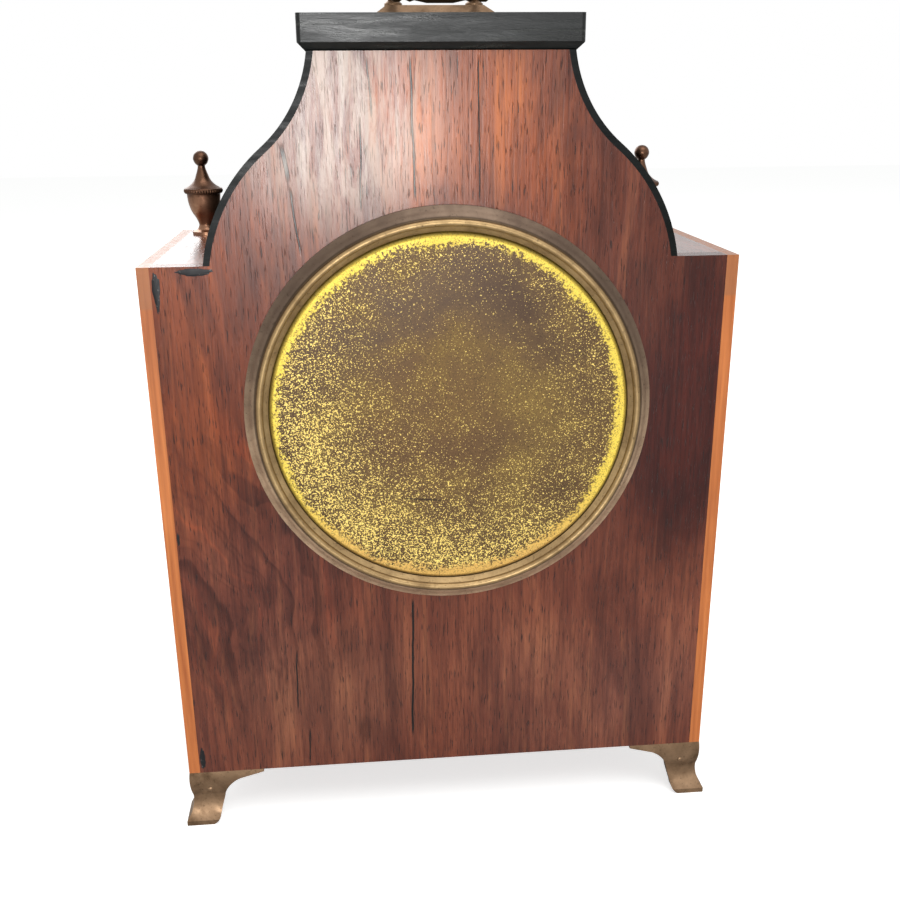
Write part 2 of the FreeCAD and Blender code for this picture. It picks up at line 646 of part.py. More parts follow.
def movement(label, shape):
    """A piece of the movement, moved from its drawing into the case."""
    return feature(label, shape, BEHIND, UP_TO_FRONT)


def ring_points(teeth, radii, shares, turn):
    """Tooth corners: radii and their places in the pitch, repeated round the wheel."""
    pitch = 360.0 / teeth
    points = []
    for tooth in range(teeth):
        for radius, share in zip(radii, shares):
            angle = math.radians(turn + (tooth + share) * pitch)
            points.append((radius * math.cos(angle), radius * math.sin(angle)))
    return points


def wheel_points(teeth, module, turn):
    """A wheel: teeth tapered from root to tip, one of them pointing along the turn angle."""
    pitch_radius = module * teeth / 2
    root, tip = pitch_radius - 1.2 * module, pitch_radius + 0.9 * module
    return ring_points(teeth, (root, tip, tip, root), (-0.31, -0.10, 0.10, 0.31), turn)


def pinion_points(leaves, module, turn):
    """A pinion: slim leaves, with a gap along the turn angle."""
    pitch_radius = module * leaves / 2
    root, tip = pitch_radius - 1.25 * module, pitch_radius + 0.4 * module
    return ring_points(leaves, (root, tip, tip, root), (0.33, 0.36, 0.64, 0.67), turn)


def moved(shape, spot):
    """A copy of the shape on an arbor at spot."""
    copy = shape.copy()
    copy.translate(Vector(spot[0], spot[1], 0))
    return copy


def crossings(count, inner, outer, low, high, arm=0.9):
    """Windows between a wheel's arms."""
    windows = []
    for k in range(count):
        half = math.pi / count
        spread = [(inner, half - arm / inner), (outer, half - arm / outer)]
        middle = 2 * half * (k + 0.5)
        corners = [(r * math.cos(middle - a), r * math.sin(middle - a)) for r, a in spread]
        corners.append((outer * math.cos(middle), outer * math.sin(middle)))
        corners += [(r * math.cos(middle + a), r * math.sin(middle + a)) for r, a in spread[::-1]]
        windows.append(slab(corners, low - 1, high + 1))
    return Part.makeCompound(windows)


def polar(spot, distance, degrees):
    angle = math.radians(degrees)
    return (spot[0] + distance * math.cos(angle), spot[1] + distance * math.sin(angle))


def mesh_distance(module, wheel, pinion):
    """Centre distance of a wheel and its pinion, with a little play."""
    return number("%s*(%s + %s)/2 + depth_slack" % (module, wheel, pinion))


# arbor places: each is one mesh away from the arbor before it
CENTRE = (0.0, 0.0)
TO_BARREL, TO_THIRD, TO_FOURTH, TO_ESCAPE = 270.0, 50.0, 150.0, 175.0
TO_LEVER, TO_COCK, TO_MINUTE = 255.0, 190.0, 320.0
BARREL = polar(CENTRE, mesh_distance("barrel_module", "barrel_teeth", "centre_leaves"), TO_BARREL)
THIRD = polar(CENTRE, mesh_distance("centre_module", "centre_teeth", "third_leaves"), TO_THIRD)
FOURTH = polar(THIRD, mesh_distance("third_module", "third_teeth", "fourth_leaves"), TO_FOURTH)
ESCAPE = polar(FOURTH, mesh_distance("fourth_module", "fourth_teeth", "escape_leaves"), TO_ESCAPE)
MINUTE = polar(CENTRE, mesh_distance("motion_module", "minute_teeth", "cannon_leaves"), TO_MINUTE)
LEVER = polar(ESCAPE, number("escape") / math.cos(math.radians(30)), TO_LEVER)
BALANCE = polar(LEVER, 8.6, TO_LEVER)
PILLARS = [polar(CENTRE, number("pillar_ring"), a) for a in (45, 135, 225, 315)]
# depths towards the dial of the two plates' outer faces
DIAL_SIDE = -number("front_plate")
BACK_SIDE = -number("back_plate") - number("plate_sheet")
INNER_FRONT = DIAL_SIDE - number("plate_sheet")
INNER_BACK = BACK_SIDE + number("plate_sheet")


def make_frame():
    """Front plate with its dial feet and minute wheel stud, back plate, and turned pillars."""
    sheet_thick, edge = number("plate_sheet"), number("plate")
    pivots = [(spot, number("pivot + fit")) for spot in (THIRD, FOURTH)]
    ends = [(spot, number("pillar_end + fit")) for spot in PILLARS]
    barrel = [(BARREL, number("barrel_arbor + fit"))]
    middle = [(CENTRE, number("arbor + fit"))]
    front_holes = pivots + ends + barrel + middle + [(ESCAPE, number("pivot + fit"))]
    back_holes = pivots + ends + barrel + middle + [
        (ESCAPE, number("arbor + fit")), (LEVER, number("pivot + fit")),
        (BALANCE, number("pivot + fit"))]
    dial_foot, feet_ring, stud_long = 1.7, 41.2, 4.5
    riveted = [rod(dial_foot, DIAL_SIDE, -number("seat_flange + 1.5"), polar(CENTRE, feet_ring, a))
               for a in (90, 210, 330)]
    riveted.append(rod(number("stud"), INNER_FRONT, DIAL_SIDE + stud_long, MINUTE))
    for name, low, holes in (("front_plate", INNER_FRONT, front_holes),
                             ("back_plate", BACK_SIDE, back_holes)):
        drilled = [rod(radius, low - 1, low + sheet_thick + 1, spot) for spot, radius in holes]
        blank = rod(edge, low, low + sheet_thick).cut(Part.makeCompound(drilled))
        if name == "front_plate":
            blank = fused([blank] + riveted)
        movement(name, blank)
    thick, end = number("pillar"), number("pillar_end")
    pillar = lathe([(0, BACK_SIDE), (end, BACK_SIDE), (end, INNER_BACK), (thick, INNER_BACK),
                    (thick, INNER_FRONT), (end, INNER_FRONT), (end, DIAL_SIDE), (0, DIAL_SIDE)])
    movement("pillars", Part.makeCompound([moved(pillar, spot) for spot in PILLARS]))
    head, head_tall = 2.4, 1.3
    heads = [rod(head, BACK_SIDE - head_tall, BACK_SIDE, spot) for spot in PILLARS]
    post = polar(BARREL, number("click_at"), number("click_turn"))
    neck, click_head, under_head = 0.8, 1.6, BACK_SIDE - 2.1
    heads.append(fused([rod(neck, under_head, BACK_SIDE, post),
                        rod(click_head, under_head - 0.8, under_head, post)]))
    movement("movement_screws", Part.makeCompound(heads))


def make_barrel():
    """Going barrel: a toothed drum, its spring, and the arbor that winds it from behind."""
    low, high = INNER_BACK + 4.2, INNER_FRONT - 1.5
    drum, wall = number("drum"), 1.0
    arbor = number("barrel_arbor")
    bore = number("barrel_arbor + fit")
    teeth = slab(wheel_points(int(number("barrel_teeth")), number("barrel_module"), 90.0),
                 high - 2.1, high - 0.5)
    shell = fused([rod(drum, low, high), teeth])
    shell = shell.cut(rod(drum - wall, low + 1.2, high - 1.2)).cut(rod(bore, low - 1, high + 1))
    movement("barrel", moved(shell, BARREL))
    core_radius = 4.0
    core = rod(core_radius, low + 1.4, high - 1.4)
    ends = [rod(arbor, BACK_SIDE - 4.0, DIAL_SIDE)]
    key, square_long = number("key_square"), 24.0
    square = Part.makeBox(key, key, square_long, Vector(-key / 2, -key / 2, BACK_SIDE - 28.0))
    movement("barrel_arbor", moved(fused([core, square] + ends), BARREL))
    strip = spiral(inner=4.5, outer=15.2, turns=4, thick=0.35, steps=12)
    movement("mainspring", moved(slab(strip, low + 1.6, high - 1.6), BARREL))
    ratchet_teeth, root, tip = 20, 5.9, 7.2
    ratchet = slab(ring_points(ratchet_teeth, (root, tip), (0.0, 0.92), 0.0),
                   BACK_SIDE - 1.9, BACK_SIDE - 0.4)
    movement("ratchet_wheel", moved(ratchet.cut(rod(number("barrel_arbor + 0.01"), 0, 20)), BARREL))


def spiral(inner, outer, turns, thick, steps):
    """Outline of a flat strip wound from the inner radius out at a steady rate."""
    count = turns * steps
    there, back = [], []
    for k in range(count + 1):
        angle = 2 * math.pi * k / steps
        radius = inner + (outer - inner) * k / count
        direction = (math.cos(angle), math.sin(angle))
        there.append(((radius + thick / 2) * direction[0], (radius + thick / 2) * direction[1]))
        back.append(((radius - thick / 2) * direction[0], (radius - thick / 2) * direction[1]))
    gap = (outer - inner) / turns * math.cos(math.pi / steps) - thick
    print("least gap between a spiral's turns, mm:", round(gap, 2))
    return there + back[::-1]


def make_click():
    """The click that holds the ratchet, pivoted on a shouldered screw, and its spring."""
    post = polar(BARREL, number("click_at"), number("click_turn"))
    low, high = BACK_SIDE - 1.8, BACK_SIDE - 0.5
    nose = polar(BARREL, 7.5, 48.0)
    tail = polar(post, 3.6, -70.0)
    arm = [polar(post, 1.5, 20.0), polar(nose, 0.9, 60.0), nose, polar(post, 1.5, 200.0), tail,
           polar(tail, 1.2, 20.0)]
    click = fused([slab(arm, low, high), rod(1.9, low, high, post)]).cut(rod(0.85, 0, 20, post))
    movement("click", click)
    root, tip = polar(post, 12.0, 75.0), polar(nose, 2.6, 40.0)
    blade = bridge([root, tip], 0.2, low, high)
    movement("click_spring", fused([blade, rod(1.3, low, BACK_SIDE, root)]))


def arbor_with(wheel, pinion, low, high, back_end=None, dial_end=None):
    """A wheel, its pinion and their arbor, with pivots into both plates."""
    thick, thin = number("arbor"), number("pivot")
    bars = [rod(thick, low, high)]
    if back_end is None:
        bars.append(rod(thin, BACK_SIDE, INNER_BACK + 0.3))
    if dial_end is None:
        bars.append(rod(thin, INNER_FRONT - 0.3, DIAL_SIDE))
    return fused([wheel, pinion] + bars)


def wheel_blank(teeth, module, turn, low, high, arms):
    """A crossed-out wheel with teeth."""
    size, step = int(number(teeth)), number(module)
    rim = step * size / 2 - 2.6 * step
    solid = slab(wheel_points(size, step, turn), low, high)
    return solid.cut(crossings(arms, 2.6, rim - 0.6, low, high))


def pinion_blank(leaves, module, turn, low, high):
    return slab(pinion_points(int(number(leaves)), number(module), turn), low, high)


def make_train():
    """Centre, third and fourth wheels and the escape wheel, in mesh at rest."""
    inner_back, inner_front = INNER_BACK + 0.3, INNER_FRONT - 0.3
    low = inner_back + 1.7
    centre = fused([
        wheel_blank("centre_teeth", "centre_module", TO_THIRD, low, low + 1.0, 5),
        pinion_blank("centre_leaves", "barrel_module", TO_BARREL, inner_front - 4.2, inner_front - 0.7),
        rod(number("arbor"), BACK_SIDE - 8, 42.6),
        Part.makeBox(1.1, 1.1, 20, Vector(-0.55, -0.55, BACK_SIDE - 27.5)),
        rod(1.3, low + 1.0, inner_front - 4.2),
    ])
    movement("centre_wheel", centre)
    third = arbor_with(
        wheel_blank("third_teeth", "third_module", TO_FOURTH, low + 4.0, low + 5.0, 5),
        pinion_blank("third_leaves", "centre_module", TO_THIRD + 180, low - 0.8, low + 1.8),
        inner_back, inner_front)
    movement("third_wheel", moved(third, THIRD))
    fourth = arbor_with(
        wheel_blank("fourth_teeth", "fourth_module", TO_ESCAPE, low + 9.0, low + 9.9, 5),
        pinion_blank("fourth_leaves", "third_module", TO_FOURTH + 180, low + 3.2, low + 5.8),
        inner_back, inner_front)
    movement("fourth_wheel", moved(fourth, FOURTH))
    tips = number("escape")
    club = ring_points(15, (tips - 1.6, tips, tips - 0.1, tips - 1.6), (0.0, 0.30, 0.38, 0.45), 4.0)
    star = slab(club, BACK_SIDE - 2.3, BACK_SIDE - 1.7).cut(
        crossings(4, 1.5, tips - 2.2, BACK_SIDE - 2.3, BACK_SIDE - 1.7, 0.5))
    escape = fused([
        star, pinion_blank("escape_leaves", "fourth_module", TO_ESCAPE + 180, low + 8.2, low + 10.8),
        rod(number("arbor"), BACK_SIDE - 3.4, inner_front),
        rod(number("pivot"), BACK_SIDE - 5.5, BACK_SIDE - 3.4),
        rod(number("pivot"), inner_front, DIAL_SIDE)])
    movement("escape_wheel", moved(escape, ESCAPE))


def make_escapement():
    """Lever, balance, hairspring and the two cocks behind the back plate."""
    level, thick = BACK_SIDE - 2.4, 0.8
    stone_half, stone_nose, stone_heel, stone_swing = 0.3, 5.85, 7.4, 30
    stones = []
    for swing in (-stone_swing, stone_swing):
        nose = polar(ESCAPE, stone_nose, TO_LEVER + swing)
        heel = polar(ESCAPE, stone_heel, TO_LEVER + swing)
        side = TO_LEVER + swing + 90
        corners = [polar(nose, stone_half, side), polar(nose, stone_half, side + 180),
                   polar(heel, stone_half, side + 180), polar(heel, stone_half, side)]
        stones.append(slab(corners, level, level + thick))
    yoke = [polar(ESCAPE, r, TO_LEVER + a) for r, a in
            ((6.6, -32), (7.6, -33), (7.7, -12), (7.7, 12), (7.6, 33), (6.6, 32), (6.25, 8), (6.25, -8))]
    stem = [polar(LEVER, 0.9, TO_LEVER + 100), polar(LEVER, 5.6, TO_LEVER + 5),
            polar(LEVER, 6.4, TO_LEVER + 9), polar(LEVER, 5.9, TO_LEVER),
            polar(LEVER, 6.4, TO_LEVER - 9), polar(LEVER, 5.6, TO_LEVER - 5),
            polar(LEVER, 0.9, TO_LEVER - 100)]
    arbor = rod(number("pivot"), BACK_SIDE - 5.5, INNER_BACK, LEVER)
    lever = fused(stones + [slab(yoke, level, level + thick), slab(stem, level, level + thick), arbor])
    movement("lever", lever)

    rim, low = number("balance"), BACK_SIDE - 8.4
    band = tube(rim, rim - 1.0, low, low + 1.0)
    arms = Part.makeBox(2 * rim - 1, 1.0, 0.7, Vector(0.5 - rim, -0.5, low + 0.15))
    staff = [rod(0.7, low - 1.8, low + 3.6), rod(number("pivot"), low - 3.6, low - 1.8),
             rod(number("pivot"), low + 3.6, INNER_BACK)]
    roller = rod(1.9, low + 2.2, low + 2.7)
    movement("balance", moved(fused([band, arms, roller] + staff), BALANCE))
    outermost = 4.6
    coil = slab(spiral(inner=1.5, outer=outermost, turns=3, thick=0.14, steps=12), low - 1.2, low - 0.7)
    stud = rod(0.35, low - 2.2, low - 0.6, (outermost, 0))
    hairspring = fused([coil, stud])
    hairspring.rotate(Vector(0, 0, 0), Vector(0, 0, 1), TO_COCK)
    movement("hairspring", moved(hairspring, BALANCE))

    cock_low, half, thick = BACK_SIDE - 5.5, 2.3, 1.1
    root = polar(ESCAPE, 8.4, 150.0)
    bar = bridge([ESCAPE, LEVER], half, cock_low, cock_low + thick)
    arm = bridge([ESCAPE, root], half, cock_low, cock_low + thick)
    foot = rod(half, cock_low, BACK_SIDE, root)
    cock = fused([bar, arm, foot])
    for spot in (ESCAPE, LEVER):
        cock = cock.cut(rod(number("pivot + fit"), cock_low - 1, cock_low + 2, spot))
    movement("escape_cock", cock)
    cock_low, half, thick, foot_radius, reach = BACK_SIDE - 12.0, 2.8, 1.4, 3.4, 12.0
    root = polar(BALANCE, reach, TO_COCK)
    top = fused([bridge([BALANCE, root], half, cock_low, cock_low + thick),
                 rod(foot_radius, cock_low, BACK_SIDE, root)])
    top = top.cut(rod(number("pivot + fit"), cock_low - 1, cock_low + 2, BALANCE))
    movement("balance_cock", top)


def bridge(spots, radius, low, high):
    """A bar with rounded ends between two arbors."""
    (ax, ay), (bx, by) = spots
    length = math.hypot(bx - ax, by - ay)
    nx, ny = -(by - ay) / length * radius, (bx - ax) / length * radius
    middle = slab([(ax + nx, ay + ny), (ax - nx, ay - ny), (bx - nx, by - ny), (bx + nx, by + ny)],
                  low, high)
    return fused([middle, rod(radius, low, high, spots[0]), rod(radius, low, high, spots[1])])


def make_motion_work():
    """Cannon pinion, minute wheel and hour wheel between the front plate and the dial."""
    module = number("motion_module")
    hour_teeth, minute_teeth = int(number("hour_teeth")), int(number("minute_teeth"))
    base = DIAL_SIDE + 0.5
    bore, cannon_tube = number("arbor + fit"), 1.2
    cannon = fused([
        slab(pinion_points(int(number("cannon_leaves")), module, TO_MINUTE), base, base + 2.1),
        rod(cannon_tube, base, 41.9)])
    movement("cannon_pinion", cannon.cut(rod(bore, 0, 60)))
    minute = fused([
        slab(wheel_points(minute_teeth, module, TO_MINUTE + 180), base + 0.5, base + 1.3),
        slab(pinion_points(int(number("minute_leaves")), module, TO_MINUTE + 180), base + 0.5, base + 3.8),
    ]).cut(rod(number("stud + fit"), 0, 60))
    movement("minute_wheel", moved(minute, MINUTE))
    hour = fused([
        slab(wheel_points(hour_teeth, module, TO_MINUTE), base + 2.4, base + 3.2),
        rod(1.75, base + 2.4, 40.7)])
    movement("hour_wheel", hour.cut(rod(cannon_tube + 0.05, 0, 60)))


def hand(length, widths, low, thick, bore, boss, turn):
    """A lance-shaped hand with a round boss: widths (distance, half width) along it."""
    edge = [(x, w) for x, w in widths] + [(length, 0)] + [(x, -w) for x, w in widths[::-1]]
    blade = slab(edge, low, low + thick)
    shape = fused([blade, rod(boss, low, low + thick)])
    shape = shape.cut(rod(bore, low - 1, low + 2))
    shape.rotate(Vector(0, 0, 0), Vector(0, 0, 1), turn)
    return shape


def make_hands():
    """Blued steel hands at ten past ten, and the brass nut that holds them."""
    minute, hour, thick = number("minute_length"), number("hour_length"), 0.4
    widths = [(-6, 0.9), (1, 0.7), (minute * 0.62, 0.6), (minute * 0.72, 1.6)]
    movement("minute_hand", hand(minute, widths, low=41.1, thick=thick, bore=1.22, boss=2.3, turn=30.0))
    widths = [(-4, 1.0), (1, 0.9), (hour * 0.58, 0.8), (hour * 0.72, 2.3)]
    movement("hour_hand", hand(hour, widths, low=40.1, thick=thick, bore=1.77, boss=3.0, turn=145.0))
    movement("hand_nut", tube(1.5, 0.81, 42.0, 42.7))


# ---------------------------------------------------------------- build and export
make_boards()
make_strings()
make_neck_sides()
make_cap()
make_glue_blocks()
make_feet()
make_foot_screws()
make_finials()
make_handle()
make_rear()
make_straps()
make_front()
make_frame()
make_barrel()
make_click()
make_train()
make_escapement()
make_motion_work()
make_hands()
doc.recompute()

for thing in doc.Objects:
    if "Invalid" in thing.State or "Error" in thing.State:
        raise RuntimeError("failed: " + thing.Label)
os.makedirs("parts", exist_ok=True)
for part in parts:
    if part.Shape.isNull() or not part.Shape.isValid() or part.Shape.Volume <= 0:
        raise RuntimeError("bad shape: " + part.Label)
    part.Shape.exportStep("parts/%s.step" % part.Label)
print(len(parts), "parts written")
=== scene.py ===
import bmesh
import bpy
import math
import numpy as np
from mathutils import Matrix, Vector


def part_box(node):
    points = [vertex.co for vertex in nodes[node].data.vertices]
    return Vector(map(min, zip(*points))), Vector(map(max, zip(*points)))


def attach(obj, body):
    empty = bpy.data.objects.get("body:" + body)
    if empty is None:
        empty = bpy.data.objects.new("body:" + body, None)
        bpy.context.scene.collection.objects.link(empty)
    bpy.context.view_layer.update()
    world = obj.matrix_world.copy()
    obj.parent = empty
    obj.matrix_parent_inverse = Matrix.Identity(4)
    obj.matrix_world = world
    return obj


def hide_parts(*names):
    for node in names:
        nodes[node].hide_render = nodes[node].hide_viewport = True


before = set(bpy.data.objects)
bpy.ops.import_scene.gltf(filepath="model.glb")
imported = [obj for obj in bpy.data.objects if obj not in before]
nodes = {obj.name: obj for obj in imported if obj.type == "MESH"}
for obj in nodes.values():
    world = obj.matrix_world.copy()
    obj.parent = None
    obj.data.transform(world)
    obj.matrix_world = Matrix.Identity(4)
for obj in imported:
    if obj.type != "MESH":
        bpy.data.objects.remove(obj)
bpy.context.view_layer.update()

# ---------------------------------------------------------------- sizes and places, in metres
MM = 0.001
CENTRE_X = -1.1 * MM                            # middle of the round openings and the movement
CENTRE_Z = 135.5 * MM
BOARD_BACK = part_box("back_board")[1][1]         # outer face of the back board
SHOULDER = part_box("shoulder_board_left")[1][2]  # top of the shoulder boards
DIAL_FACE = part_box("dial")[0][1]                # front of the dial
FINIAL_X = 73.5 * MM                            # each finial stands this far from the middle
FINIAL_Y = -30.5 * MM
FINIAL_RIM = 13.2 * MM                          # foot of a finial's rim, above the shoulder
FOOT_PIN_X = 77.0 * MM                          # the pins' heads in the back feet
FOOT_PIN_Z = 12.0 * MM


# ---------------------------------------------------------------- camera, light and floor
LENS = 41.12                                    # in millimetres, for a picture SENSOR wide
SENSOR = 36.0
EYE = (0.02395, 0.3241, 0.22111)
EYE_AHEAD = (-0.0834, -0.9421, -0.3248)
EYE_UP = (-0.0373, -0.3227, 0.9458)

FLOOR_HALF = 3.0
FLOOR_COLOUR = (0.86, 0.87, 0.86, 1)
FLOOR_LIFT = 0.62                               # added for the camera alone: the floor shows near white
SKY_COLOUR = (1, 1, 1, 1)
SKY_LIGHT = 0.40                                # the sky's light on the object
SKY_SEEN = 1.0                                  # the sky as the camera, gloss and glass see it

# each lamp's place, the point it faces, the side of its square in metres, and its power in watts
LAMPS = {
    "window": ((0.055, 1.20, 0.195), (0.03, 0.04, 0.218), 0.22, 6.6),
    "ceiling": ((-0.2, 0.5, 1.3), (0, 0, 0.1), 0.9, 9.0),
    "front_fill": ((0.5, -1.2, 0.8), (0, 0, 0.12), 0.9, 8.0),
}


def make_camera():
    """The photograph's viewpoint: from behind, a little above the cap."""
    data = bpy.data.cameras.new("camera")
    data.lens = LENS
    data.sensor_width = SENSOR
    data.clip_start = 0.01
    data.clip_end = 50.0
    camera = bpy.data.objects.new("camera", data)
    bpy.context.scene.collection.objects.link(camera)
    ahead = Vector(EYE_AHEAD).normalized()
    right = ahead.cross(Vector(EYE_UP)).normalized()
    up = right.cross(ahead)
    turn = Matrix((right, up, -ahead)).transposed().to_4x4()
    camera.matrix_world = Matrix.Translation(EYE) @ turn
    bpy.context.scene.camera = camera
    bpy.context.scene.view_settings.view_transform = "Standard"


def make_light(name, place, target, size, power):
    """A square soft lamp at place, facing target."""
    data = bpy.data.lights.new(name, "AREA")
    data.shape = "SQUARE"
    data.size = size
    data.energy = power
    lamp = bpy.data.objects.new(name, data)
    bpy.context.scene.collection.objects.link(lamp)
    ahead = (Vector(target) - Vector(place)).normalized()
    lamp.rotation_euler = ahead.to_track_quat("-Z", "Y").to_euler()
    lamp.location = place


def make_floor():
    """A pale floor that keeps the object's shadow."""
    floor_mesh = bpy.data.meshes.new("floor")
    corners = [(-1, -1), (1, -1), (1, 1), (-1, 1)]
    floor_mesh.from_pydata([(x * FLOOR_HALF, y * FLOOR_HALF, 0) for x, y in corners], [], [(0, 1, 2, 3)])
    floor = bpy.data.objects.new("floor", floor_mesh)
    bpy.context.scene.collection.objects.link(floor)
    material = bpy.data.materials.new("floor")
    material.use_nodes = True
    tree = material.node_tree
    tree.nodes.clear()
    out = tree.nodes.new("ShaderNodeOutputMaterial")
    paper = tree.nodes.new("ShaderNodeBsdfDiffuse")
    paper.inputs["Color"].default_value = FLOOR_COLOUR
    glow = tree.nodes.new("ShaderNodeEmission")
    ray = tree.nodes.new("ShaderNodeLightPath")
    both = tree.nodes.new("ShaderNodeAddShader")
    lift = tree.nodes.new("ShaderNodeMath")
    lift.operation = "MULTIPLY"
    lift.inputs[1].default_value = FLOOR_LIFT
    tree.links.new(ray.outputs["Is Camera Ray"], lift.inputs[0])
    tree.links.new(lift.outputs[0], glow.inputs["Strength"])
    tree.links.new(paper.outputs[0], both.inputs[0])
    tree.links.new(glow.outputs[0], both.inputs[1])
    tree.links.new(both.outputs[0], out.inputs["Surface"])
    floor_mesh.materials.append(material)


def make_sky():
    """A sky that is white to the camera, to gloss and through glass, and lights the object softly."""
    world = bpy.data.worlds.new("world")
    bpy.context.scene.world = world
    world.use_nodes = True
    tree = world.node_tree
    tree.nodes.clear()
    out = tree.nodes.new("ShaderNodeOutputWorld")
    sky = tree.nodes.new("ShaderNodeBackground")
    sky.inputs["Color"].default_value = SKY_COLOUR
    ray = tree.nodes.new("ShaderNodeLightPath")
    both = tree.nodes.new("ShaderNodeMath")
    both.operation = "ADD"
    seen = tree.nodes.new("ShaderNodeMath")
    seen.operation = "ADD"
    seen.use_clamp = True
    level = tree.nodes.new("ShaderNodeMapRange")
    level.inputs["To Min"].default_value = SKY_LIGHT
    level.inputs["To Max"].default_value = SKY_SEEN
    tree.links.new(ray.outputs["Is Glossy Ray"], both.inputs[0])
    tree.links.new(ray.outputs["Is Transmission Ray"], both.inputs[1])
    tree.links.new(ray.outputs["Is Camera Ray"], seen.inputs[0])
    tree.links.new(both.outputs[0], seen.inputs[1])
    tree.links.new(seen.outputs[0], level.inputs["Value"])
    tree.links.new(level.outputs["Result"], sky.inputs["Strength"])
    tree.links.new(sky.outputs[0], out.inputs["Surface"])


# ---------------------------------------------------------------- material building blocks
class Finish:
    """A node material; each method adds nodes and gives back the output socket."""

    def __init__(self, name):
        self.material = bpy.data.materials.new(name)
        self.material.use_nodes = True
        self.tree = self.material.node_tree
        self.shader = self.tree.nodes["Principled BSDF"]
        self.place = self.tree.nodes.new("ShaderNodeTexCoord").outputs["Object"]

    def add(self, kind, **settings):
        """A shader node of this kind, with its settings."""
        node = self.tree.nodes.new("ShaderNode" + kind)
        for key, value in settings.items():
            setattr(node, key, value)
        return node

    def feed(self, value, socket):
        """A link where value is a socket, and a plain setting where it is a number."""
        if isinstance(value, bpy.types.NodeSocket):
            self.tree.links.new(value, socket)
        else:
            socket.default_value = value

    def math(self, operation, *values):
        """One sum on numbers or sockets."""
        node = self.add("Math", operation=operation)
        for value, socket in zip(values, node.inputs):
            self.feed(value, socket)
        return node.outputs[0]

    def spot(self, middle, reach, ragged=0.0):
        """1 in the middle of an ellipse in X and Z, fading to 0 outside it; in millimetres."""
        full_to, gone_from = 0.30, 1.15         # as shares of the reach
        x, _, z = self.axes()
        total = 0.0
        for place, centre, half in zip((x, z), middle, reach):
            share = self.math("MULTIPLY_ADD", place, 1 / (half * MM), -centre / half)
            total = self.math("ADD", self.math("MULTIPLY", share, share), total)
        away = self.math("ADD", self.math("SQRT", total), ragged)
        return self.step(away, full_to, gone_from, 1.0, 0.0)

    def swing(self, value, reach):
        """A value about 0.5 made to swing about 0, over reach in all."""
        return self.math("MULTIPLY", self.math("SUBTRACT", value, 0.5), reach)

    def stretched(self, scale, at=(0, 0, 0)):
        """The place on the object, in metres, times a scale along each axis."""
        node = self.add("Mapping")
        node.inputs["Scale"].default_value = scale
        node.inputs["Location"].default_value = at
        self.feed(self.place, node.inputs["Vector"])
        return node.outputs[0]

    def noise(self, scale, detail=3.0, rough=0.55, bend=0.0, at=(0, 0, 0)):
        """Noise from about 0 to 1; scale is how often it changes in a metre along each axis."""
        node = self.add("TexNoise")
        node.inputs["Scale"].default_value = 1.0
        node.inputs["Detail"].default_value = detail
        node.inputs["Roughness"].default_value = rough
        node.inputs["Distortion"].default_value = bend
        self.feed(self.stretched(scale, at), node.inputs["Vector"])
        return node.outputs["Fac"]

    def step(self, value, low, high, to_low=0.0, to_high=1.0):
        """A smooth change from to_low to to_high as value goes from low to high."""
        node = self.add("MapRange", interpolation_type="SMOOTHSTEP")
        for name, setting in (("Value", value), ("From Min", low), ("From Max", high),
                              ("To Min", to_low), ("To Max", to_high)):
            self.feed(setting, node.inputs[name])
        return node.outputs["Result"]

    def ramp(self, value, stops):
        """A colour read off stops of (position, colour)."""
        node = self.add("ValToRGB")
        ramp = node.color_ramp
        while len(ramp.elements) < len(stops):
            ramp.elements.new(0.5)
        for element, (spot, colour) in zip(ramp.elements, stops):
            element.position, element.color = spot, (*colour, 1)
        self.feed(value, node.inputs["Fac"])
        return node.outputs["Color"]

    def blend(self, share, first, second, mode="MIX"):
        """From first to second by share, or first times second by share with mode MULTIPLY."""
        node = self.add("Mix", data_type="RGBA", blend_type=mode)
        self.feed(share, node.inputs["Factor"])
        for value, socket in ((first, node.inputs[6]), (second, node.inputs[7])):
            self.feed((*value, 1) if isinstance(value, tuple) else value, socket)
        return node.outputs[2]

    def axes(self):
        """The place on the object as three sockets, in metres."""
        node = self.add("SeparateXYZ")
        self.feed(self.place, node.inputs[0])
        return node.outputs[0], node.outputs[1], node.outputs[2]

    def bump(self, height, depth, strength=1.0):
        """Relief: height from 0 to 1 stands for depth in metres."""
        node = self.add("Bump")
        node.inputs["Strength"].default_value = strength
        node.inputs["Distance"].default_value = depth
        self.feed(height, node.inputs["Height"])
        self.feed(node.outputs["Normal"], self.shader.inputs["Normal"])

    def finish(self, colour=None, rough=None, metal=0.0, **more):
        """Sets the shader's sockets and gives back the material; more names any other socket."""
        if colour is not None:
            self.feed(colour, self.shader.inputs["Base Color"])
        if rough is not None:
            self.feed(rough, self.shader.inputs["Roughness"])
        self.shader.inputs["Metallic"].default_value = metal
        for name, value in more.items():
            self.shader.inputs[name.replace("_", " ")].default_value = value
        return self.material


# ---------------------------------------------------------------- wood
# cracks in the back board: x and z of the top, x and z of the foot, half width, in millimetres
CRACKS = [
    (19.6, 231.7, 18.6, 215.6, 0.10),
    (8.4, 231.6, 7.8, 194.3, 0.16),
    (42.7, 210.6, 41.0, 199.5, 0.45),
    (41.0, 199.5, 38.9, 180.3, 0.16),
    (21.7, 216.9, 22.4, 191.4, 0.10),
    (-9.2, 232.0, -9.7, 193.5, 0.08),
    (10.7, 77.2, 11.7, 27.7, 0.22),
    (46.7, 61.4, 47.6, 38.7, 0.10),
    (44.2, 33.7, 45.0, 18.5, 0.10),
]


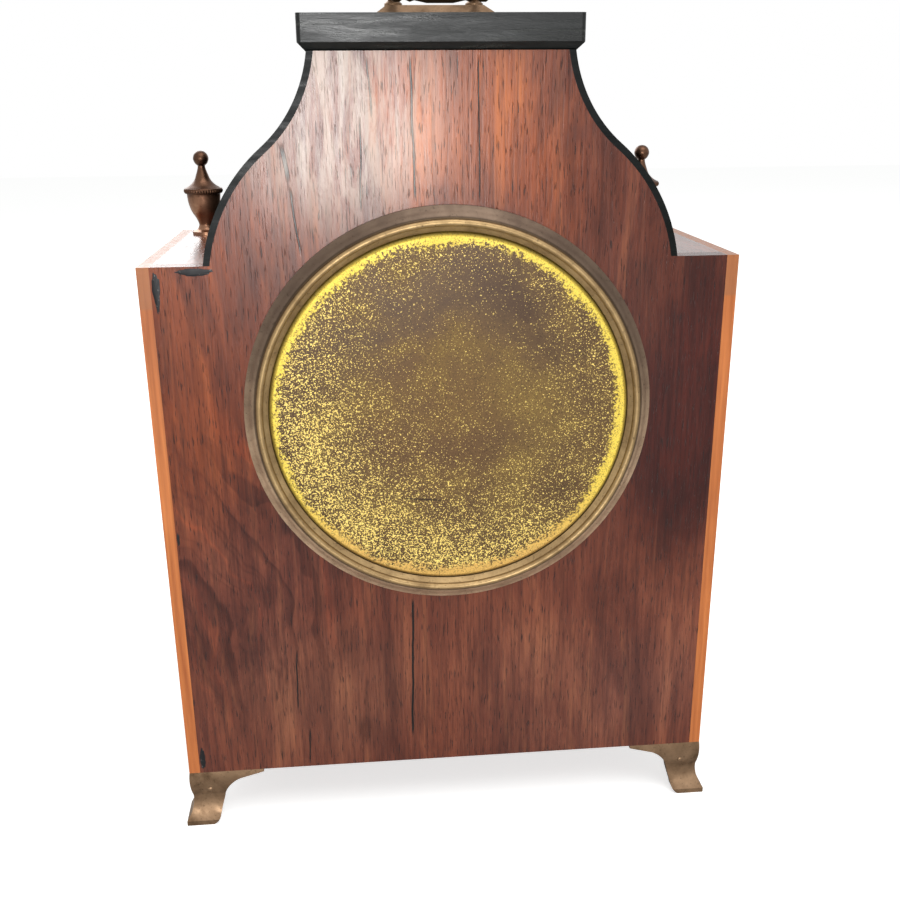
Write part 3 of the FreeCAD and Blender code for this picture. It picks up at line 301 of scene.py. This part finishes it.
def crack_mask(finish):
    """1 on the cracks: each is a wandering line, narrowing towards its two ends."""
    stray, soft, fade = 0.8 * MM, 0.18 * MM, 3 * MM
    x, y, z = finish.axes()
    wander = finish.swing(finish.noise((30, 30, 130), 3.0), stray)
    near_back = finish.step(y, BOARD_BACK - 1.0 * MM, BOARD_BACK - 0.4 * MM)
    total = 0.0
    for x_top, z_top, x_foot, z_foot, half in CRACKS:
        lean = (x_top - x_foot) / (z_top - z_foot)
        line = finish.math("MULTIPLY_ADD", z, lean, (x_foot - lean * z_foot) * MM)
        away = finish.math("ABSOLUTE", finish.math("SUBTRACT", finish.math("ADD", line, wander), x))
        thin = finish.step(away, half * MM, half * MM + soft, 1.0, 0.0)
        below = finish.step(z, z_top * MM - fade, z_top * MM, 1.0, 0.0)
        above = finish.step(z, z_foot * MM, z_foot * MM + fade)
        one = finish.math("MULTIPLY", thin, finish.math("MULTIPLY", below, above))
        total = finish.math("MAXIMUM", total, one)
    return finish.math("MULTIPLY", total, near_back)


# broad tones of the back board: middle x and z, half width and half height in millimetres, and
# the colour that multiplies the wood there
TONES = [
    (-10, 214, 30, 38, (2.20, 2.05, 1.05)),
    (-30, 196, 20, 26, (1.30, 1.15, 0.80)),
    (34, 205, 44, 40, (1.50, 1.45, 1.05)),
    (70, 150, 36, 58, (1.30, 1.05, 0.60)),
    (-72, 138, 29, 66, (0.34, 0.16, 0.16)),
    (-34, 40, 44, 36, (1.10, 1.30, 1.45)),
    (34, 44, 40, 34, (1.06, 1.30, 1.42)),
    (60, 88, 34, 34, (0.96, 0.98, 1.08)),
    (-66, 46, 26, 38, (1.02, 1.12, 1.25)),
]


def back_figure(finish, colour):
    """The back board's own figure: broad tones, and wavy rings low on its left about a knot."""
    warp = finish.swing(finish.noise((26, 26, 18), 3.0), 1.1)
    for across, up, wide, tall, tone in TONES:
        colour = finish.blend(finish.spot((across, up), (wide, tall), warp), colour, tone, "MULTIPLY")
    colour = growth_rings(finish, colour, finish.spot((58, 84), (46, 58), warp))
    knot = finish.spot((26.6, 31.0), (3.2, 6.5), warp)
    return finish.blend(finish.math("MULTIPLY", knot, 0.55), colour, (0.28, 0.22, 0.22), "MULTIPLY")


def growth_rings(finish, colour, area):
    """Dark and light bands: the distance from a point beyond the edge, bent by noise, cut unevenly."""
    pith_x, pith_z, flattened, bend = 104 * MM, 44 * MM, 0.62, 26 * MM
    x, _, z = finish.axes()
    from_side = finish.math("SUBTRACT", x, pith_x)
    above = finish.math("MULTIPLY", finish.math("SUBTRACT", z, pith_z), flattened)
    reach = finish.math("SQRT", finish.math("MULTIPLY_ADD", from_side, from_side,
                                            finish.math("MULTIPLY", above, above)))
    reach = finish.math("MULTIPLY_ADD", finish.noise((34, 34, 22), 3.0), bend, reach)
    bands = finish.add("TexNoise", noise_dimensions="1D")
    bands.inputs["Scale"].default_value = 165.0
    bands.inputs["Detail"].default_value = 3.0
    finish.feed(reach, bands.inputs["W"])
    dark = finish.math("MULTIPLY", finish.step(bands.outputs["Fac"], 0.36, 0.52, 1.0, 0.0), area)
    colour = finish.blend(finish.math("MULTIPLY", dark, 0.75), colour, (0.40, 0.30, 0.30), "MULTIPLY")
    light = finish.math("MULTIPLY", finish.step(bands.outputs["Fac"], 0.55, 0.66), area)
    return finish.blend(finish.math("MULTIPLY", light, 0.70), colour, (1.50, 1.32, 1.15), "MULTIPLY")


def rosewood(name, grain_axis="Z", back=False, warm=0.0, gloss=0.15):
    """Reddish brown figured veneer: wavy figure, fine streaks and dark pores along the grain."""
    finish = Finish(name)
    along = "XYZ".index(grain_axis)

    def scale(across, with_grain):
        """Noise scale: across the grain on two axes, along it on one."""
        sizes = [across] * 3
        sizes[along] = with_grain
        return tuple(sizes)
    figure = finish.noise(scale(38, 11), 6.0, 0.62, 1.8)
    streaks = finish.noise(scale(210, 16), 6.0, 0.66, 0.9)
    hair = finish.noise(scale(1100, 45), 4.0, 0.66, 0.3)
    pores = finish.noise(scale(2500, 190), 2.0, 0.5, 0.0)
    colour = finish.ramp(figure, [(0.30, (0.058, 0.0135, 0.0080)), (0.46, (0.125, 0.0310, 0.0165)),
                                  (0.60, (0.185, 0.0500, 0.0250)), (0.76, (0.270, 0.0830, 0.0380))])
    light_streak = finish.step(streaks, 0.50, 0.74)
    colour = finish.blend(finish.math("MULTIPLY", light_streak, 0.36), colour, (0.38, 0.120, 0.046))
    dark_streak = finish.step(streaks, 0.30, 0.46, 1.0, 0.0)
    colour = finish.blend(finish.math("MULTIPLY", dark_streak, 0.36), colour, (0.030, 0.0080, 0.0065))
    colour = finish.blend(finish.step(hair, 0.36, 0.58, 0.50, 0.0), colour, (0.044, 0.0110, 0.0075))
    if back:
        colour = back_figure(finish, colour)
    else:
        colour = finish.blend(warm, colour, (1.9, 1.45, 1.15), "MULTIPLY")
    pore_mask = finish.step(pores, 0.60, 0.67)
    colour = finish.blend(finish.math("MULTIPLY", pore_mask, 0.80), colour, (0.012, 0.0045, 0.0040))
    rough = finish.step(streaks, 0.3, 0.8, 0.22, 0.36)
    height = finish.math("ADD", finish.math("MULTIPLY", pore_mask, -0.6),
                         finish.math("MULTIPLY", hair, 0.5))
    if back:
        mask = crack_mask(finish)
        colour = finish.blend(mask, colour, (0.004, 0.003, 0.003))
        height = finish.math("SUBTRACT", height, finish.math("MULTIPLY", mask, 2.0))
        # a painted sheen: a cloudy pale patch high on the left of the board, where the window lamp's
        # highlight lies
        cloud = finish.noise((240, 240, 38), 6.0, 0.72, 0.8)
        area = finish.spot((27, 217), (32, 34))
        # painted highlight: pale colour mixed into the wood over the sheen patch
        painted_sheen = finish.math("MULTIPLY", finish.step(cloud, 0.34, 0.60), area)
        colour = finish.blend(finish.math("MULTIPLY", painted_sheen, 0.50), colour, (0.64, 0.52, 0.42))
    finish.bump(height, 0.15 * MM, 0.60)
    return finish.finish(colour, rough, Specular_IOR_Level=0.22, Coat_Weight=gloss, Coat_Roughness=0.20)


def boxwood():
    """Orange boxwood stringing with fine grain; each upright ends in a browner block."""
    end_block = 166.8 * MM
    finish = Finish("boxwood")
    fine = finish.noise((500, 500, 22), 4.0, 0.6)
    broad = finish.noise((30, 30, 14), 3.0, 0.5)
    colour = finish.ramp(fine, [(0.30, (0.32, 0.080, 0.016)), (0.70, (0.60, 0.190, 0.046))])
    colour = finish.blend(finish.step(broad, 0.55, 0.75, 0.0, 0.45), colour, (0.30, 0.085, 0.022))
    _, _, z = finish.axes()
    browner = finish.step(z, end_block, end_block + 0.8 * MM, 0.0, 0.55)
    colour = finish.blend(browner, colour, (0.28, 0.115, 0.048))
    finish.bump(fine, 0.05 * MM, 0.5)
    return finish.finish(colour, finish.step(fine, 0.3, 0.7, 0.30, 0.42),
                         Specular_IOR_Level=0.35, Coat_Weight=0.08)


def ebonised(name, gloss, wear):
    """Black-stained wood under old polish; wear greys it and roughens it along the grain."""
    finish = Finish(name)
    fine = finish.noise((55, 480, 480), 6.0, 0.70, 0.5)
    rubbed = finish.noise((30, 260, 260), 6.0, 0.66, 0.6)
    colour = finish.ramp(fine, [(0.3, (0.0014, 0.0019, 0.0018)), (0.75, (0.0060, 0.0080, 0.0076))])
    worn = finish.math("MULTIPLY", finish.step(rubbed, 0.54, 0.70), wear)
    colour = finish.blend(worn, colour, (0.075, 0.080, 0.070))
    finish.bump(finish.math("ADD", fine, rubbed), (0.06 + 0.40 * wear) * MM, 0.6)
    return finish.finish(colour, finish.step(rubbed, 0.38, 0.66, 0.40, 0.24), Specular_IOR_Level=gloss)


def filler():
    """Dark shellac stopping: nearly black, with pale dust in its hollows."""
    finish = Finish("dark_filler")
    lumps = finish.noise((420, 420, 200), 3.0, 0.6)
    dust = finish.noise((1700, 1700, 900), 2.0, 0.5)
    colour = finish.blend(finish.step(dust, 0.62, 0.72, 0.0, 0.40), (0.006, 0.006, 0.007),
                          (0.22, 0.21, 0.20))
    finish.bump(lumps, 0.03 * MM, 0.5)
    return finish.finish(colour, finish.step(lumps, 0.3, 0.7, 0.30, 0.45), Specular_IOR_Level=0.25)


def softwood():
    """Plain pale deal, for the glue blocks."""
    finish = Finish("softwood")
    fine = finish.noise((420, 420, 18), 4.0, 0.6)
    colour = finish.ramp(fine, [(0.3, (0.26, 0.15, 0.07)), (0.7, (0.50, 0.34, 0.18))])
    finish.bump(fine, 0.1 * MM, 0.5)
    return finish.finish(colour, finish.step(fine, 0.3, 0.7, 0.55, 0.75))


# ---------------------------------------------------------------- metal, enamel and glass
def brass(name, dark, bright, rough_low, rough_high, tarnish=0.5, grain=(300, 300, 300), dark_above=None):
    """Brass with a mottled tarnish, brighter where the mottle is thin, dark above a height if given."""
    finish = Finish(name)
    mottle = finish.noise(tuple(g * 0.35 for g in grain), 5.0, 0.65, 0.3)
    fine = finish.noise(tuple(g * 4.0 for g in grain), 3.0, 0.6)
    colour = finish.ramp(mottle, [(0.30, dark), (0.72, bright)])
    specks = finish.math("MULTIPLY", finish.step(fine, 0.58, 0.72), tarnish)
    colour = finish.blend(specks, colour, tuple(c * 0.35 for c in dark))
    if dark_above is not None:
        _, _, z = finish.axes()
        patina = finish.step(z, dark_above - 1.5 * MM, dark_above + 0.5 * MM, 0.0, 0.78)
        colour = finish.blend(patina, colour, tuple(c * 0.45 for c in dark))
    finish.bump(fine, 0.03 * MM, 0.45)
    rough = finish.step(mottle, 0.3, 0.7, rough_high, rough_low)
    return finish.finish(colour, rough, 1.0)


def from_centre(finish):
    """Across and up from the axis of the round openings, and the distance from that axis."""
    x, _, z = finish.axes()
    across = finish.math("SUBTRACT", x, CENTRE_X)
    up = finish.math("SUBTRACT", z, CENTRE_Z)
    squares = finish.math("MULTIPLY_ADD", across, across, finish.math("MULTIPLY", up, up))
    return across, up, finish.math("SQRT", squares)


def ring_brass():
    """The rings' brass: a tan flank darkened to grey-brown over its upper part by painted shade, a dark
    groove, and a tan bead rubbed by the lid.
    """
    groove_at = 55.1 * MM
    finish = Finish("ring_brass")
    _, up, radius = from_centre(finish)
    mottle = finish.noise((140, 140, 140), 5.0, 0.65, 0.3)
    fine = finish.noise((1100, 1100, 1100), 3.0, 0.6)
    flank = finish.ramp(mottle, [(0.30, (0.310, 0.205, 0.132)), (0.72, (0.640, 0.450, 0.290))])
    bead = finish.ramp(mottle, [(0.30, (0.210, 0.135, 0.062)), (0.72, (0.430, 0.295, 0.140))])
    # painted shade: the flank is darkened towards its top, standing in for the dark room it reflects there
    painted_shade_above = finish.step(up, -30 * MM, 36 * MM, 0.0, 0.85)
    flank = finish.blend(painted_shade_above, flank, (0.062, 0.043, 0.034))
    on_bead = finish.step(radius, groove_at - 0.4 * MM, groove_at + 0.2 * MM, 1.0, 0.0)
    colour = finish.blend(on_bead, flank, bead)
    from_groove = finish.math("ABSOLUTE", finish.math("SUBTRACT", radius, groove_at))
    groove = finish.step(from_groove, 0.15 * MM, 0.55 * MM, 0.75, 0.0)
    colour = finish.blend(groove, colour, (0.030, 0.018, 0.010))
    specks = finish.step(fine, 0.58, 0.72, 0.0, 0.55)
    colour = finish.blend(specks, colour, (0.040, 0.024, 0.014))
    finish.bump(fine, 0.03 * MM, 0.45)
    return finish.finish(colour, finish.step(mottle, 0.3, 0.7, 0.54, 0.40), 0.85)


def cover_field(finish, cloud, radius):
    """The cover's brown field, with a redder cloud about the middle."""
    broad = finish.noise((15, 15, 15), 2.0, 0.5, 0.0, (3, 1, 2))
    field = finish.ramp(cloud, [(0.30, (0.062, 0.031, 0.0140)), (0.52, (0.115, 0.064, 0.0220)),
                                (0.72, (0.190, 0.118, 0.030))])
    middle = finish.step(radius, 6 * MM, 34 * MM, 1.0, 0.0)
    red = finish.math("MULTIPLY", middle, finish.step(broad, 0.35, 0.62, 0.25, 0.85))
    return finish.blend(finish.math("MULTIPLY", red, 0.55), field, (0.125, 0.050, 0.016))


def gold_specks(finish, cloud, grit, crumbs, across, up, radius):
    """1 where gold is left, thicker near the rim and towards the lower left."""
    near_rim = finish.step(radius, 16 * MM, 49 * MM)
    low_left = finish.step(finish.math("SUBTRACT", across, up), -30 * MM, 45 * MM, 0.0, 0.062)
    edge = finish.math("MULTIPLY_ADD", near_rim, 0.070, low_left)
    patchy = finish.math("MULTIPLY_ADD", finish.math("SUBTRACT", cloud, 0.5), 0.16, edge)
    bar = finish.math("SUBTRACT", 0.685, patchy)
    speck = finish.step(finish.math("SUBTRACT", grit, bar), 0.0, 0.03)
    flake = finish.step(finish.math("SUBTRACT", crumbs, finish.math("ADD", bar, 0.03)), 0.0, 0.03)
    return finish.math("MAXIMUM", speck, flake)


def cover_rim(finish, colour, cloud, grit, crumbs, up, radius):
    """The bright lacquer rim, its inner edge eaten away unevenly, browned towards its foot."""
    ragged = finish.swing(crumbs, 9 * MM)
    slow = finish.swing(cloud, 8 * MM)
    edge_place = finish.math("ADD", radius, finish.math("ADD", ragged, slow))
    rim = finish.step(edge_place, 47.5 * MM, 49.2 * MM)
    worn = finish.step(grit, 0.34, 0.50, 0.45, 0.95)
    browned = finish.step(up, -46 * MM, -18 * MM, 1.0, 0.0)
    lacquer = finish.blend(browned, (0.82, 0.61, 0.085), (0.65, 0.39, 0.100))
    colour = finish.blend(finish.math("MULTIPLY", rim, worn), colour, lacquer)
    outside = finish.step(radius, 50.0 * MM, 51.0 * MM)
    return finish.blend(finish.math("MULTIPLY", outside, 0.8), colour, (0.075, 0.045, 0.014))


def cover_scratch(finish):
    """1 on a dark scratch across the lower half: a line that rises slightly to one side."""
    rise, height = 0.09, 109.2 * MM
    x, _, z = finish.axes()
    slant = finish.math("MULTIPLY_ADD", x, rise, height)
    line = finish.math("ABSOLUTE", finish.math("SUBTRACT", z, slant))
    begins = finish.step(x, 0.5 * MM, 3 * MM)
    ends = finish.step(x, 11 * MM, 14 * MM, 1.0, 0.0)
    thin = finish.step(line, 0.08 * MM, 0.30 * MM, 1.0, 0.0)
    return finish.math("MULTIPLY", thin, finish.math("MULTIPLY", begins, ends))


def cover_face():
    """The lacquered cover: a mottled brown field, gold speckle, and a ragged bright rim."""
    finish = Finish("lacquered_brass")
    across, up, radius = from_centre(finish)
    cloud = finish.noise((36, 36, 36), 5.0, 0.62, 0.5)
    grit = finish.noise((2500, 60, 2500), 2.0, 0.60)
    crumbs = finish.noise((1350, 60, 1350), 3.0, 0.6, 0.0, (5, 0, 7))
    gold = gold_specks(finish, cloud, grit, crumbs, across, up, radius)
    pits = finish.step(grit, 0.32, 0.44, 0.65, 0.0)
    field = finish.blend(pits, cover_field(finish, cloud, radius), (0.022, 0.012, 0.005))
    colour = finish.blend(finish.math("MULTIPLY", gold, 0.92), field, (0.98, 0.74, 0.20))
    colour = cover_rim(finish, colour, cloud, grit, crumbs, up, radius)
    colour = finish.blend(cover_scratch(finish), colour, (0.020, 0.012, 0.006))
    height = finish.math("ADD", finish.math("MULTIPLY", gold, 0.4), finish.math("MULTIPLY", cloud, 0.5))
    finish.bump(height, 0.05 * MM, 0.55)
    rough = finish.step(cloud, 0.3, 0.7, 0.36, 0.54)
    return finish.finish(colour, rough, 0.25, Specular_IOR_Level=0.3)


def steel(name, colour_low, colour_high, rough):
    """Steel brushed along X, between two tones."""
    finish = Finish(name)
    brushed = finish.noise((2400, 160, 160), 3.0, 0.6)
    colour = finish.ramp(brushed, [(0.3, colour_low), (0.7, colour_high)])
    finish.bump(brushed, 0.01 * MM, 0.4)
    return finish.finish(colour, finish.step(brushed, 0.3, 0.7, rough, rough + 0.12), 1.0)


def enamel():
    """Off-white enamel with a haze of age and fine crazing."""
    finish = Finish("dial_enamel")
    haze = finish.noise((40, 40, 40), 4.0, 0.6)
    crazing = finish.noise((700, 700, 700), 3.0, 0.7, 1.5)
    colour = finish.ramp(haze, [(0.3, (0.74, 0.71, 0.62)), (0.7, (0.83, 0.81, 0.75))])
    from_line = finish.math("ABSOLUTE", finish.math("SUBTRACT", crazing, 0.5))
    lines = finish.step(from_line, 0.002, 0.008, 0.3, 0.0)
    colour = finish.blend(lines, colour, (0.45, 0.38, 0.28))
    finish.bump(haze, 0.08 * MM, 0.3)
    return finish.finish(colour, finish.step(haze, 0.3, 0.7, 0.10, 0.18))


def dial_paint():
    """Black paint, faintly uneven."""
    finish = Finish("dial_paint")
    fine = finish.noise((1300, 1300, 1300), 3.0, 0.6)
    colour = finish.ramp(fine, [(0.3, (0.008, 0.008, 0.010)), (0.75, (0.030, 0.028, 0.030))])
    return finish.finish(colour, finish.step(fine, 0.3, 0.7, 0.30, 0.45))


def clear_glass():
    """Clear glass with a faint haze."""
    finish = Finish("glass")
    haze = finish.noise((60, 60, 60), 3.0, 0.6)
    return finish.finish((0.97, 0.99, 0.98, 1), finish.step(haze, 0.35, 0.75, 0.0, 0.045),
                         Transmission_Weight=1.0, IOR=1.5)


# ---------------------------------------------------------------- surfaces worked out on grids
def grid_piece(name, spots, material, body, closed_u=False, closed_v=False, caps=False):
    """A mesh from an array of points (rows, columns, 3); a closed direction joins end to start."""
    rows, columns = spots.shape[:2]
    row, column = np.meshgrid(np.arange(rows if closed_u else rows - 1),
                              np.arange(columns if closed_v else columns - 1), indexing="ij")
    down, right = (row + 1) % rows, (column + 1) % columns
    quads = np.stack([row * columns + column, down * columns + column,
                      down * columns + right, row * columns + right], axis=-1).reshape(-1, 4)
    faces = quads.tolist()
    if caps:
        faces += [list(range(columns)), [(rows - 1) * columns + c for c in range(columns)][::-1]]
    mesh = bpy.data.meshes.new(name)
    mesh.from_pydata(spots.reshape(-1, 3).tolist(), [], faces)
    return add_piece(name, mesh, material, body, smooth=True)


def add_piece(name, mesh, material, body, smooth=False):
    """Finishes a mesh as a piece of the object: doubles merged, normals outwards, riding its body."""
    work = bmesh.new()
    work.from_mesh(mesh)
    bmesh.ops.remove_doubles(work, verts=work.verts, dist=1e-7)
    bmesh.ops.recalc_face_normals(work, faces=work.faces)
    work.to_mesh(mesh)
    work.free()
    mesh.materials.append(material)
    if smooth:
        mesh.polygons.foreach_set("use_smooth", [True] * len(mesh.polygons))
        mesh.set_sharp_from_angle(angle=math.radians(38))
    piece = bpy.data.objects.new(name, mesh)
    bpy.context.scene.collection.objects.link(piece)
    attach(piece, body)
    return piece


def profile_curve(points, per_span=6):
    """Catmull-Rom curve through (radius, height) points; a doubled point makes a sharp corner."""
    points = np.array(points, float)
    padded = np.vstack([points[:1], points, points[-1:]])
    t = np.linspace(0, 1, per_span, endpoint=False)[:, None]
    spans = []
    for a, b, c, d in zip(padded, padded[1:], padded[2:], padded[3:]):
        if np.allclose(b, c):
            continue
        before = (c - a) / 2 if not np.allclose(a, b) else (c - b)
        after = (d - b) / 2 if not np.allclose(c, d) else (c - b)
        spans.append((2 * t**3 - 3 * t**2 + 1) * b + (t**3 - 2 * t**2 + t) * before
                     + (3 * t**2 - 2 * t**3) * c + (t**3 - t**2) * after)
    return np.vstack(spans + [points[-1:]])


# ---------------------------------------------------------------- pieces
def make_finials(material):
    """Urns: a profile r(h) spun about its axis, with the rim milled into ridges.

    r(h, a) = r(h) + deep*(1 + cos(ridges*a)) * exp(-((h - rim)/half)**4), so only the rim is cut.
    """
    rim, half, deep, ridges = 14.0 * MM, 0.55 * MM, 0.13 * MM, 48
    profile = profile_curve([
        (0, 0), (4.55, 0), (4.55, 0), (4.55, 0.9), (4.55, 0.9), (3.0, 1.5), (2.35, 2.6), (2.3, 3.4),
        (3.0, 5.2), (4.3, 7.4), (5.1, 10), (5.45, 13.0), (5.45, 13.0), (5.55, 13.2), (6.0, 13.3),
        (6.0, 14.7), (5.5, 14.9), (5.4, 15.0), (4.0, 15.9), (2.7, 17.3), (1.9, 19.2), (1.3, 21.0),
        (1.15, 21.9), (1.15, 21.9), (2.0, 22.75), (2.48, 24.1), (2.1, 25.5), (1.1, 26.4), (0, 26.66),
    ]) * MM
    radius, height = profile[:, 0], profile[:, 1]
    angle = np.linspace(0, 2 * np.pi, 144, endpoint=False)
    on_rim = np.exp(-((height - rim) / half) ** 4)
    ridge = deep * (1 + np.cos(ridges * angle))
    full = radius[:, None] + on_rim[:, None] * ridge[None, :]
    for side, sign in (("left", -1), ("right", 1)):
        spots = np.stack([sign * FINIAL_X + full * np.cos(angle), FINIAL_Y + full * np.sin(angle),
                          SHOULDER + np.broadcast_to(height[:, None], full.shape)], axis=-1)
        piece = grid_piece("urn_" + side, spots, material, "case", closed_v=True)
        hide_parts("finials")


def make_rear_ring(material):
    """Spun ring: its section carried round the clock's centre.

    Outside, r(t) = foot - fall*t - swell*sin(2 pi t) is the flank's ogee and a half circle the bead;
    inside are the lid's bore, the ledge and the spigot.
    """
    foot, fall, swell, low, rise = 58.3, 3.4, 0.14, 0.8, 2.4
    bead_middle, bead_half, bead_rise = 53.85, 1.05, 1.25
    t = np.linspace(0, 1, 15)
    flank = np.stack([foot - fall * t - swell * np.sin(2 * np.pi * t), low + rise * t], axis=1)
    turn = np.linspace(0, np.pi, 13)
    bead = np.stack([bead_middle + bead_half * np.cos(turn), low + rise + bead_rise * np.sin(turn)], axis=1)
    inside = [(51.45, 2.2), (51.45, -6.0), (45.5, -6.0), (45.5, -7.2), (52.9, -7.2), (52.9, 0.0)]
    section = np.vstack([[(foot, 0.0)], flank, bead, inside]) * MM
    angle = np.linspace(0, 2 * np.pi, 180, endpoint=False)
    radius, out = section[:, 0][:, None], section[:, 1][:, None]
    spots = np.stack([CENTRE_X + radius * np.cos(angle), BOARD_BACK + out + 0 * angle,
                      CENTRE_Z + radius * np.sin(angle)], axis=-1)
    piece = grid_piece("spun_ring", spots, material, "case", closed_u=True, closed_v=True)
    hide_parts("rear_ring")


def there_and_back(count, dome):
    """Rows from the middle out over a dome and back under it, so that the shell closes."""
    out = np.linspace(0, 1, count)
    share = np.concatenate([out, [0.5, 0.0]])
    height = np.concatenate([dome(out), [0.0, 0.0]])
    return share[:, None], height[:, None]


# filled chips in the back board: middle x and z, half width, half height, all in millimetres, and
# how much wider the top is than the foot
STOPPINGS = {
    "corner": (78.1, 171.4, 1.15, 6.6, 0.55),
    "shoulder": (67.6, 177.0, 5.6, 1.25, 0.30),
    "foot": (78.4, 23.8, 1.00, 4.6, -0.15),
    "side": (79.0, 99.2, 0.45, 2.4, 0.10),
}


def stopping_patch(name, across, up, wide, tall, taper, material):
    """A thin dome of filler: height = thick*(1 - share**3) - sunk, out to an uneven outline.

    The outline is x = wide*cos(a)*(1 + taper*sin(a)), z = tall*sin(a); share runs from its
    middle, 0, to its edge, 1.
    """
    thick, sunk = 0.12, 0.05                    # in millimetres
    angle = np.linspace(0, 2 * np.pi, 72, endpoint=False)
    uneven = 1 + 0.06 * np.sin(5 * angle + 1) + 0.05 * np.sin(11 * angle)
    share, height = there_and_back(9, lambda part: 1 - part ** 3)
    x = across + share * wide * np.cos(angle) * (1 + taper * np.sin(angle)) * uneven
    z = up + share * tall * np.sin(angle) * uneven
    out = (thick * height - sunk) * np.ones_like(x)
    spots = np.stack([x * MM, BOARD_BACK + out * MM, z * MM], axis=-1)
    return grid_piece("filler_" + name, spots, material, "case", closed_v=True)


def dimple(name, x, z, material):
    """The round head of a pin in a foot's wing: a low dome, height = rise*sqrt(1 - share**2)."""
    radius, rise, sunk = 1.0 * MM, 0.45 * MM, 0.15 * MM
    angle = np.linspace(0, 2 * np.pi, 24, endpoint=False)
    share, height = there_and_back(6, lambda part: np.sqrt(1 - part ** 2))
    wide = radius * share
    face = BOARD_BACK - sunk
    spots = np.stack([x + wide * np.cos(angle), face + rise * height + 0 * angle,
                      z + wide * np.sin(angle)], axis=-1)
    return grid_piece(name, spots, material, "case", closed_v=True)


def make_hour_numbers(face, material):
    """Plain numbers 1 to 12 as text made into mesh, each upright on a circle about the centre."""
    tall, thick, reach = 9.6 * MM, 0.06 * MM, 36.0 * MM
    for hour in range(1, 13):
        angle = math.radians(90 - 30 * hour)
        text = bpy.data.curves.new("hour_%d" % hour, "FONT")
        text.body = str(hour)
        text.size = tall
        text.extrude = thick
        text.align_x = "CENTER"
        text.align_y = "CENTER"
        holder = bpy.data.objects.new("text", text)
        bpy.context.scene.collection.objects.link(holder)
        bpy.context.view_layer.update()
        mesh = bpy.data.meshes.new_from_object(holder.evaluated_get(bpy.context.evaluated_depsgraph_get()))
        bpy.data.objects.remove(holder)
        place = Vector((CENTRE_X + reach * math.cos(angle), face, CENTRE_Z + reach * math.sin(angle)))
        mesh.transform(Matrix.Translation(place) @ Matrix.Rotation(math.radians(90), 4, "X"))
        mesh.materials.clear()
        add_piece("hour_%d" % hour, mesh, material, "case")


def make_minute_track(face, material):
    """Sixty short radial bars, each a closed box from inner to outer radius, wider at the hours."""
    inner, outer, hour_half, minute_half = 42.6 * MM, 45.4 * MM, 0.55 * MM, 0.16 * MM
    proud, sunk = 0.04 * MM, 0.02 * MM
    sides = ((0, 1, 2, 3), (7, 6, 5, 4), (0, 4, 5, 1), (1, 5, 6, 2), (2, 6, 7, 3), (3, 7, 4, 0))
    vertices, faces = [], []
    for minute in range(60):
        angle = math.radians(6 * minute)
        half = hour_half if minute % 5 == 0 else minute_half
        side = np.array([-math.sin(angle), math.cos(angle)])
        ray = np.array([math.cos(angle), math.sin(angle)])
        flat = [ray * inner - side * half, ray * outer - side * half,
                ray * outer + side * half, ray * inner + side * half]
        first = len(vertices)
        for depth in (face - proud, DIAL_FACE + sunk):
            vertices += [(CENTRE_X + c[0], depth, CENTRE_Z + c[1]) for c in flat]
        faces += [[first + corner for corner in ring] for ring in sides]
    mesh = bpy.data.meshes.new("minute_track")
    mesh.from_pydata(vertices, [], faces)
    add_piece("minute_track", mesh, material, "case")


# ---------------------------------------------------------------- build
def paint(material, *names):
    """Gives CAD nodes their material."""
    for name in names:
        mesh = nodes[name].data
        mesh.materials.clear()
        mesh.materials.append(material)


make_camera()
make_floor()
make_sky()
for lamp, settings in LAMPS.items():
    make_light(lamp, *settings)

aged = brass("aged_brass", (0.085, 0.050, 0.028), (0.310, 0.200, 0.120), 0.38, 0.56)
bronze = brass("bronzed_brass", (0.130, 0.064, 0.040), (0.460, 0.250, 0.150), 0.30, 0.48,
               dark_above=SHOULDER + FINIAL_RIM)
clean = brass("movement_brass", (0.60, 0.42, 0.16), (0.72, 0.53, 0.22), 0.26, 0.32, 0.12, (60, 60, 1500))
ink = dial_paint()
stopping = filler()

paint(rosewood("rosewood_back", back=True), "back_board")
paint(rosewood("rosewood"), "front_board", "side_left", "side_right", "top_board")
paint(rosewood("rosewood_shoulder", "Y", warm=0.2, gloss=0.45), "shoulder_board_left", "shoulder_board_right")
paint(rosewood("rosewood_base", "X"), "base_board")
paint(boxwood(), "corner_strings", "shoulder_strings")
paint(ebonised("ebonised_cap", 0.34, 0.45), "cap")
paint(ebonised("ebonised_side", 0.10, 0.05), "neck_side_left", "neck_side_right")
paint(softwood(), "glue_blocks")
paint(aged, "foot_front_left", "foot_front_right", "foot_back_left", "foot_back_right",
      "handle_plate", "handle_posts", "handle_pins", "handle_bail", "handle_grip", "hinge_pin")
ring_metal = ring_brass()
paint(ring_metal, "rear_ring", "bezel_seat", "bezel")
paint(cover_face(), "rear_cover")
paint(clean, "straps", "front_plate", "back_plate", "pillars", "barrel", "centre_wheel", "third_wheel",
      "fourth_wheel", "minute_wheel", "hour_wheel", "escape_cock", "balance_cock", "hand_nut", "balance")
paint(steel("steel", (0.30, 0.31, 0.33), (0.52, 0.53, 0.55), 0.22), "foot_screws", "strap_screws",
      "movement_screws", "barrel_arbor", "mainspring", "ratchet_wheel", "click", "click_spring",
      "escape_wheel", "lever", "hairspring", "cannon_pinion")
paint(steel("blued_steel", (0.012, 0.022, 0.110), (0.030, 0.055, 0.240), 0.18), "minute_hand", "hour_hand")
paint(enamel(), "dial")
paint(clear_glass(), "bezel_glass")

make_finials(bronze)
make_rear_ring(ring_metal)
for place, sizes in STOPPINGS.items():
    stopping_patch(place, *sizes, stopping)
for side, x in (("left", -FOOT_PIN_X), ("right", FOOT_PIN_X)):
    dimple("foot_pin_" + side, x, FOOT_PIN_Z, aged)
marks_face = DIAL_FACE - 0.08 * MM
make_hour_numbers(marks_face, ink)
make_minute_track(marks_face, ink)
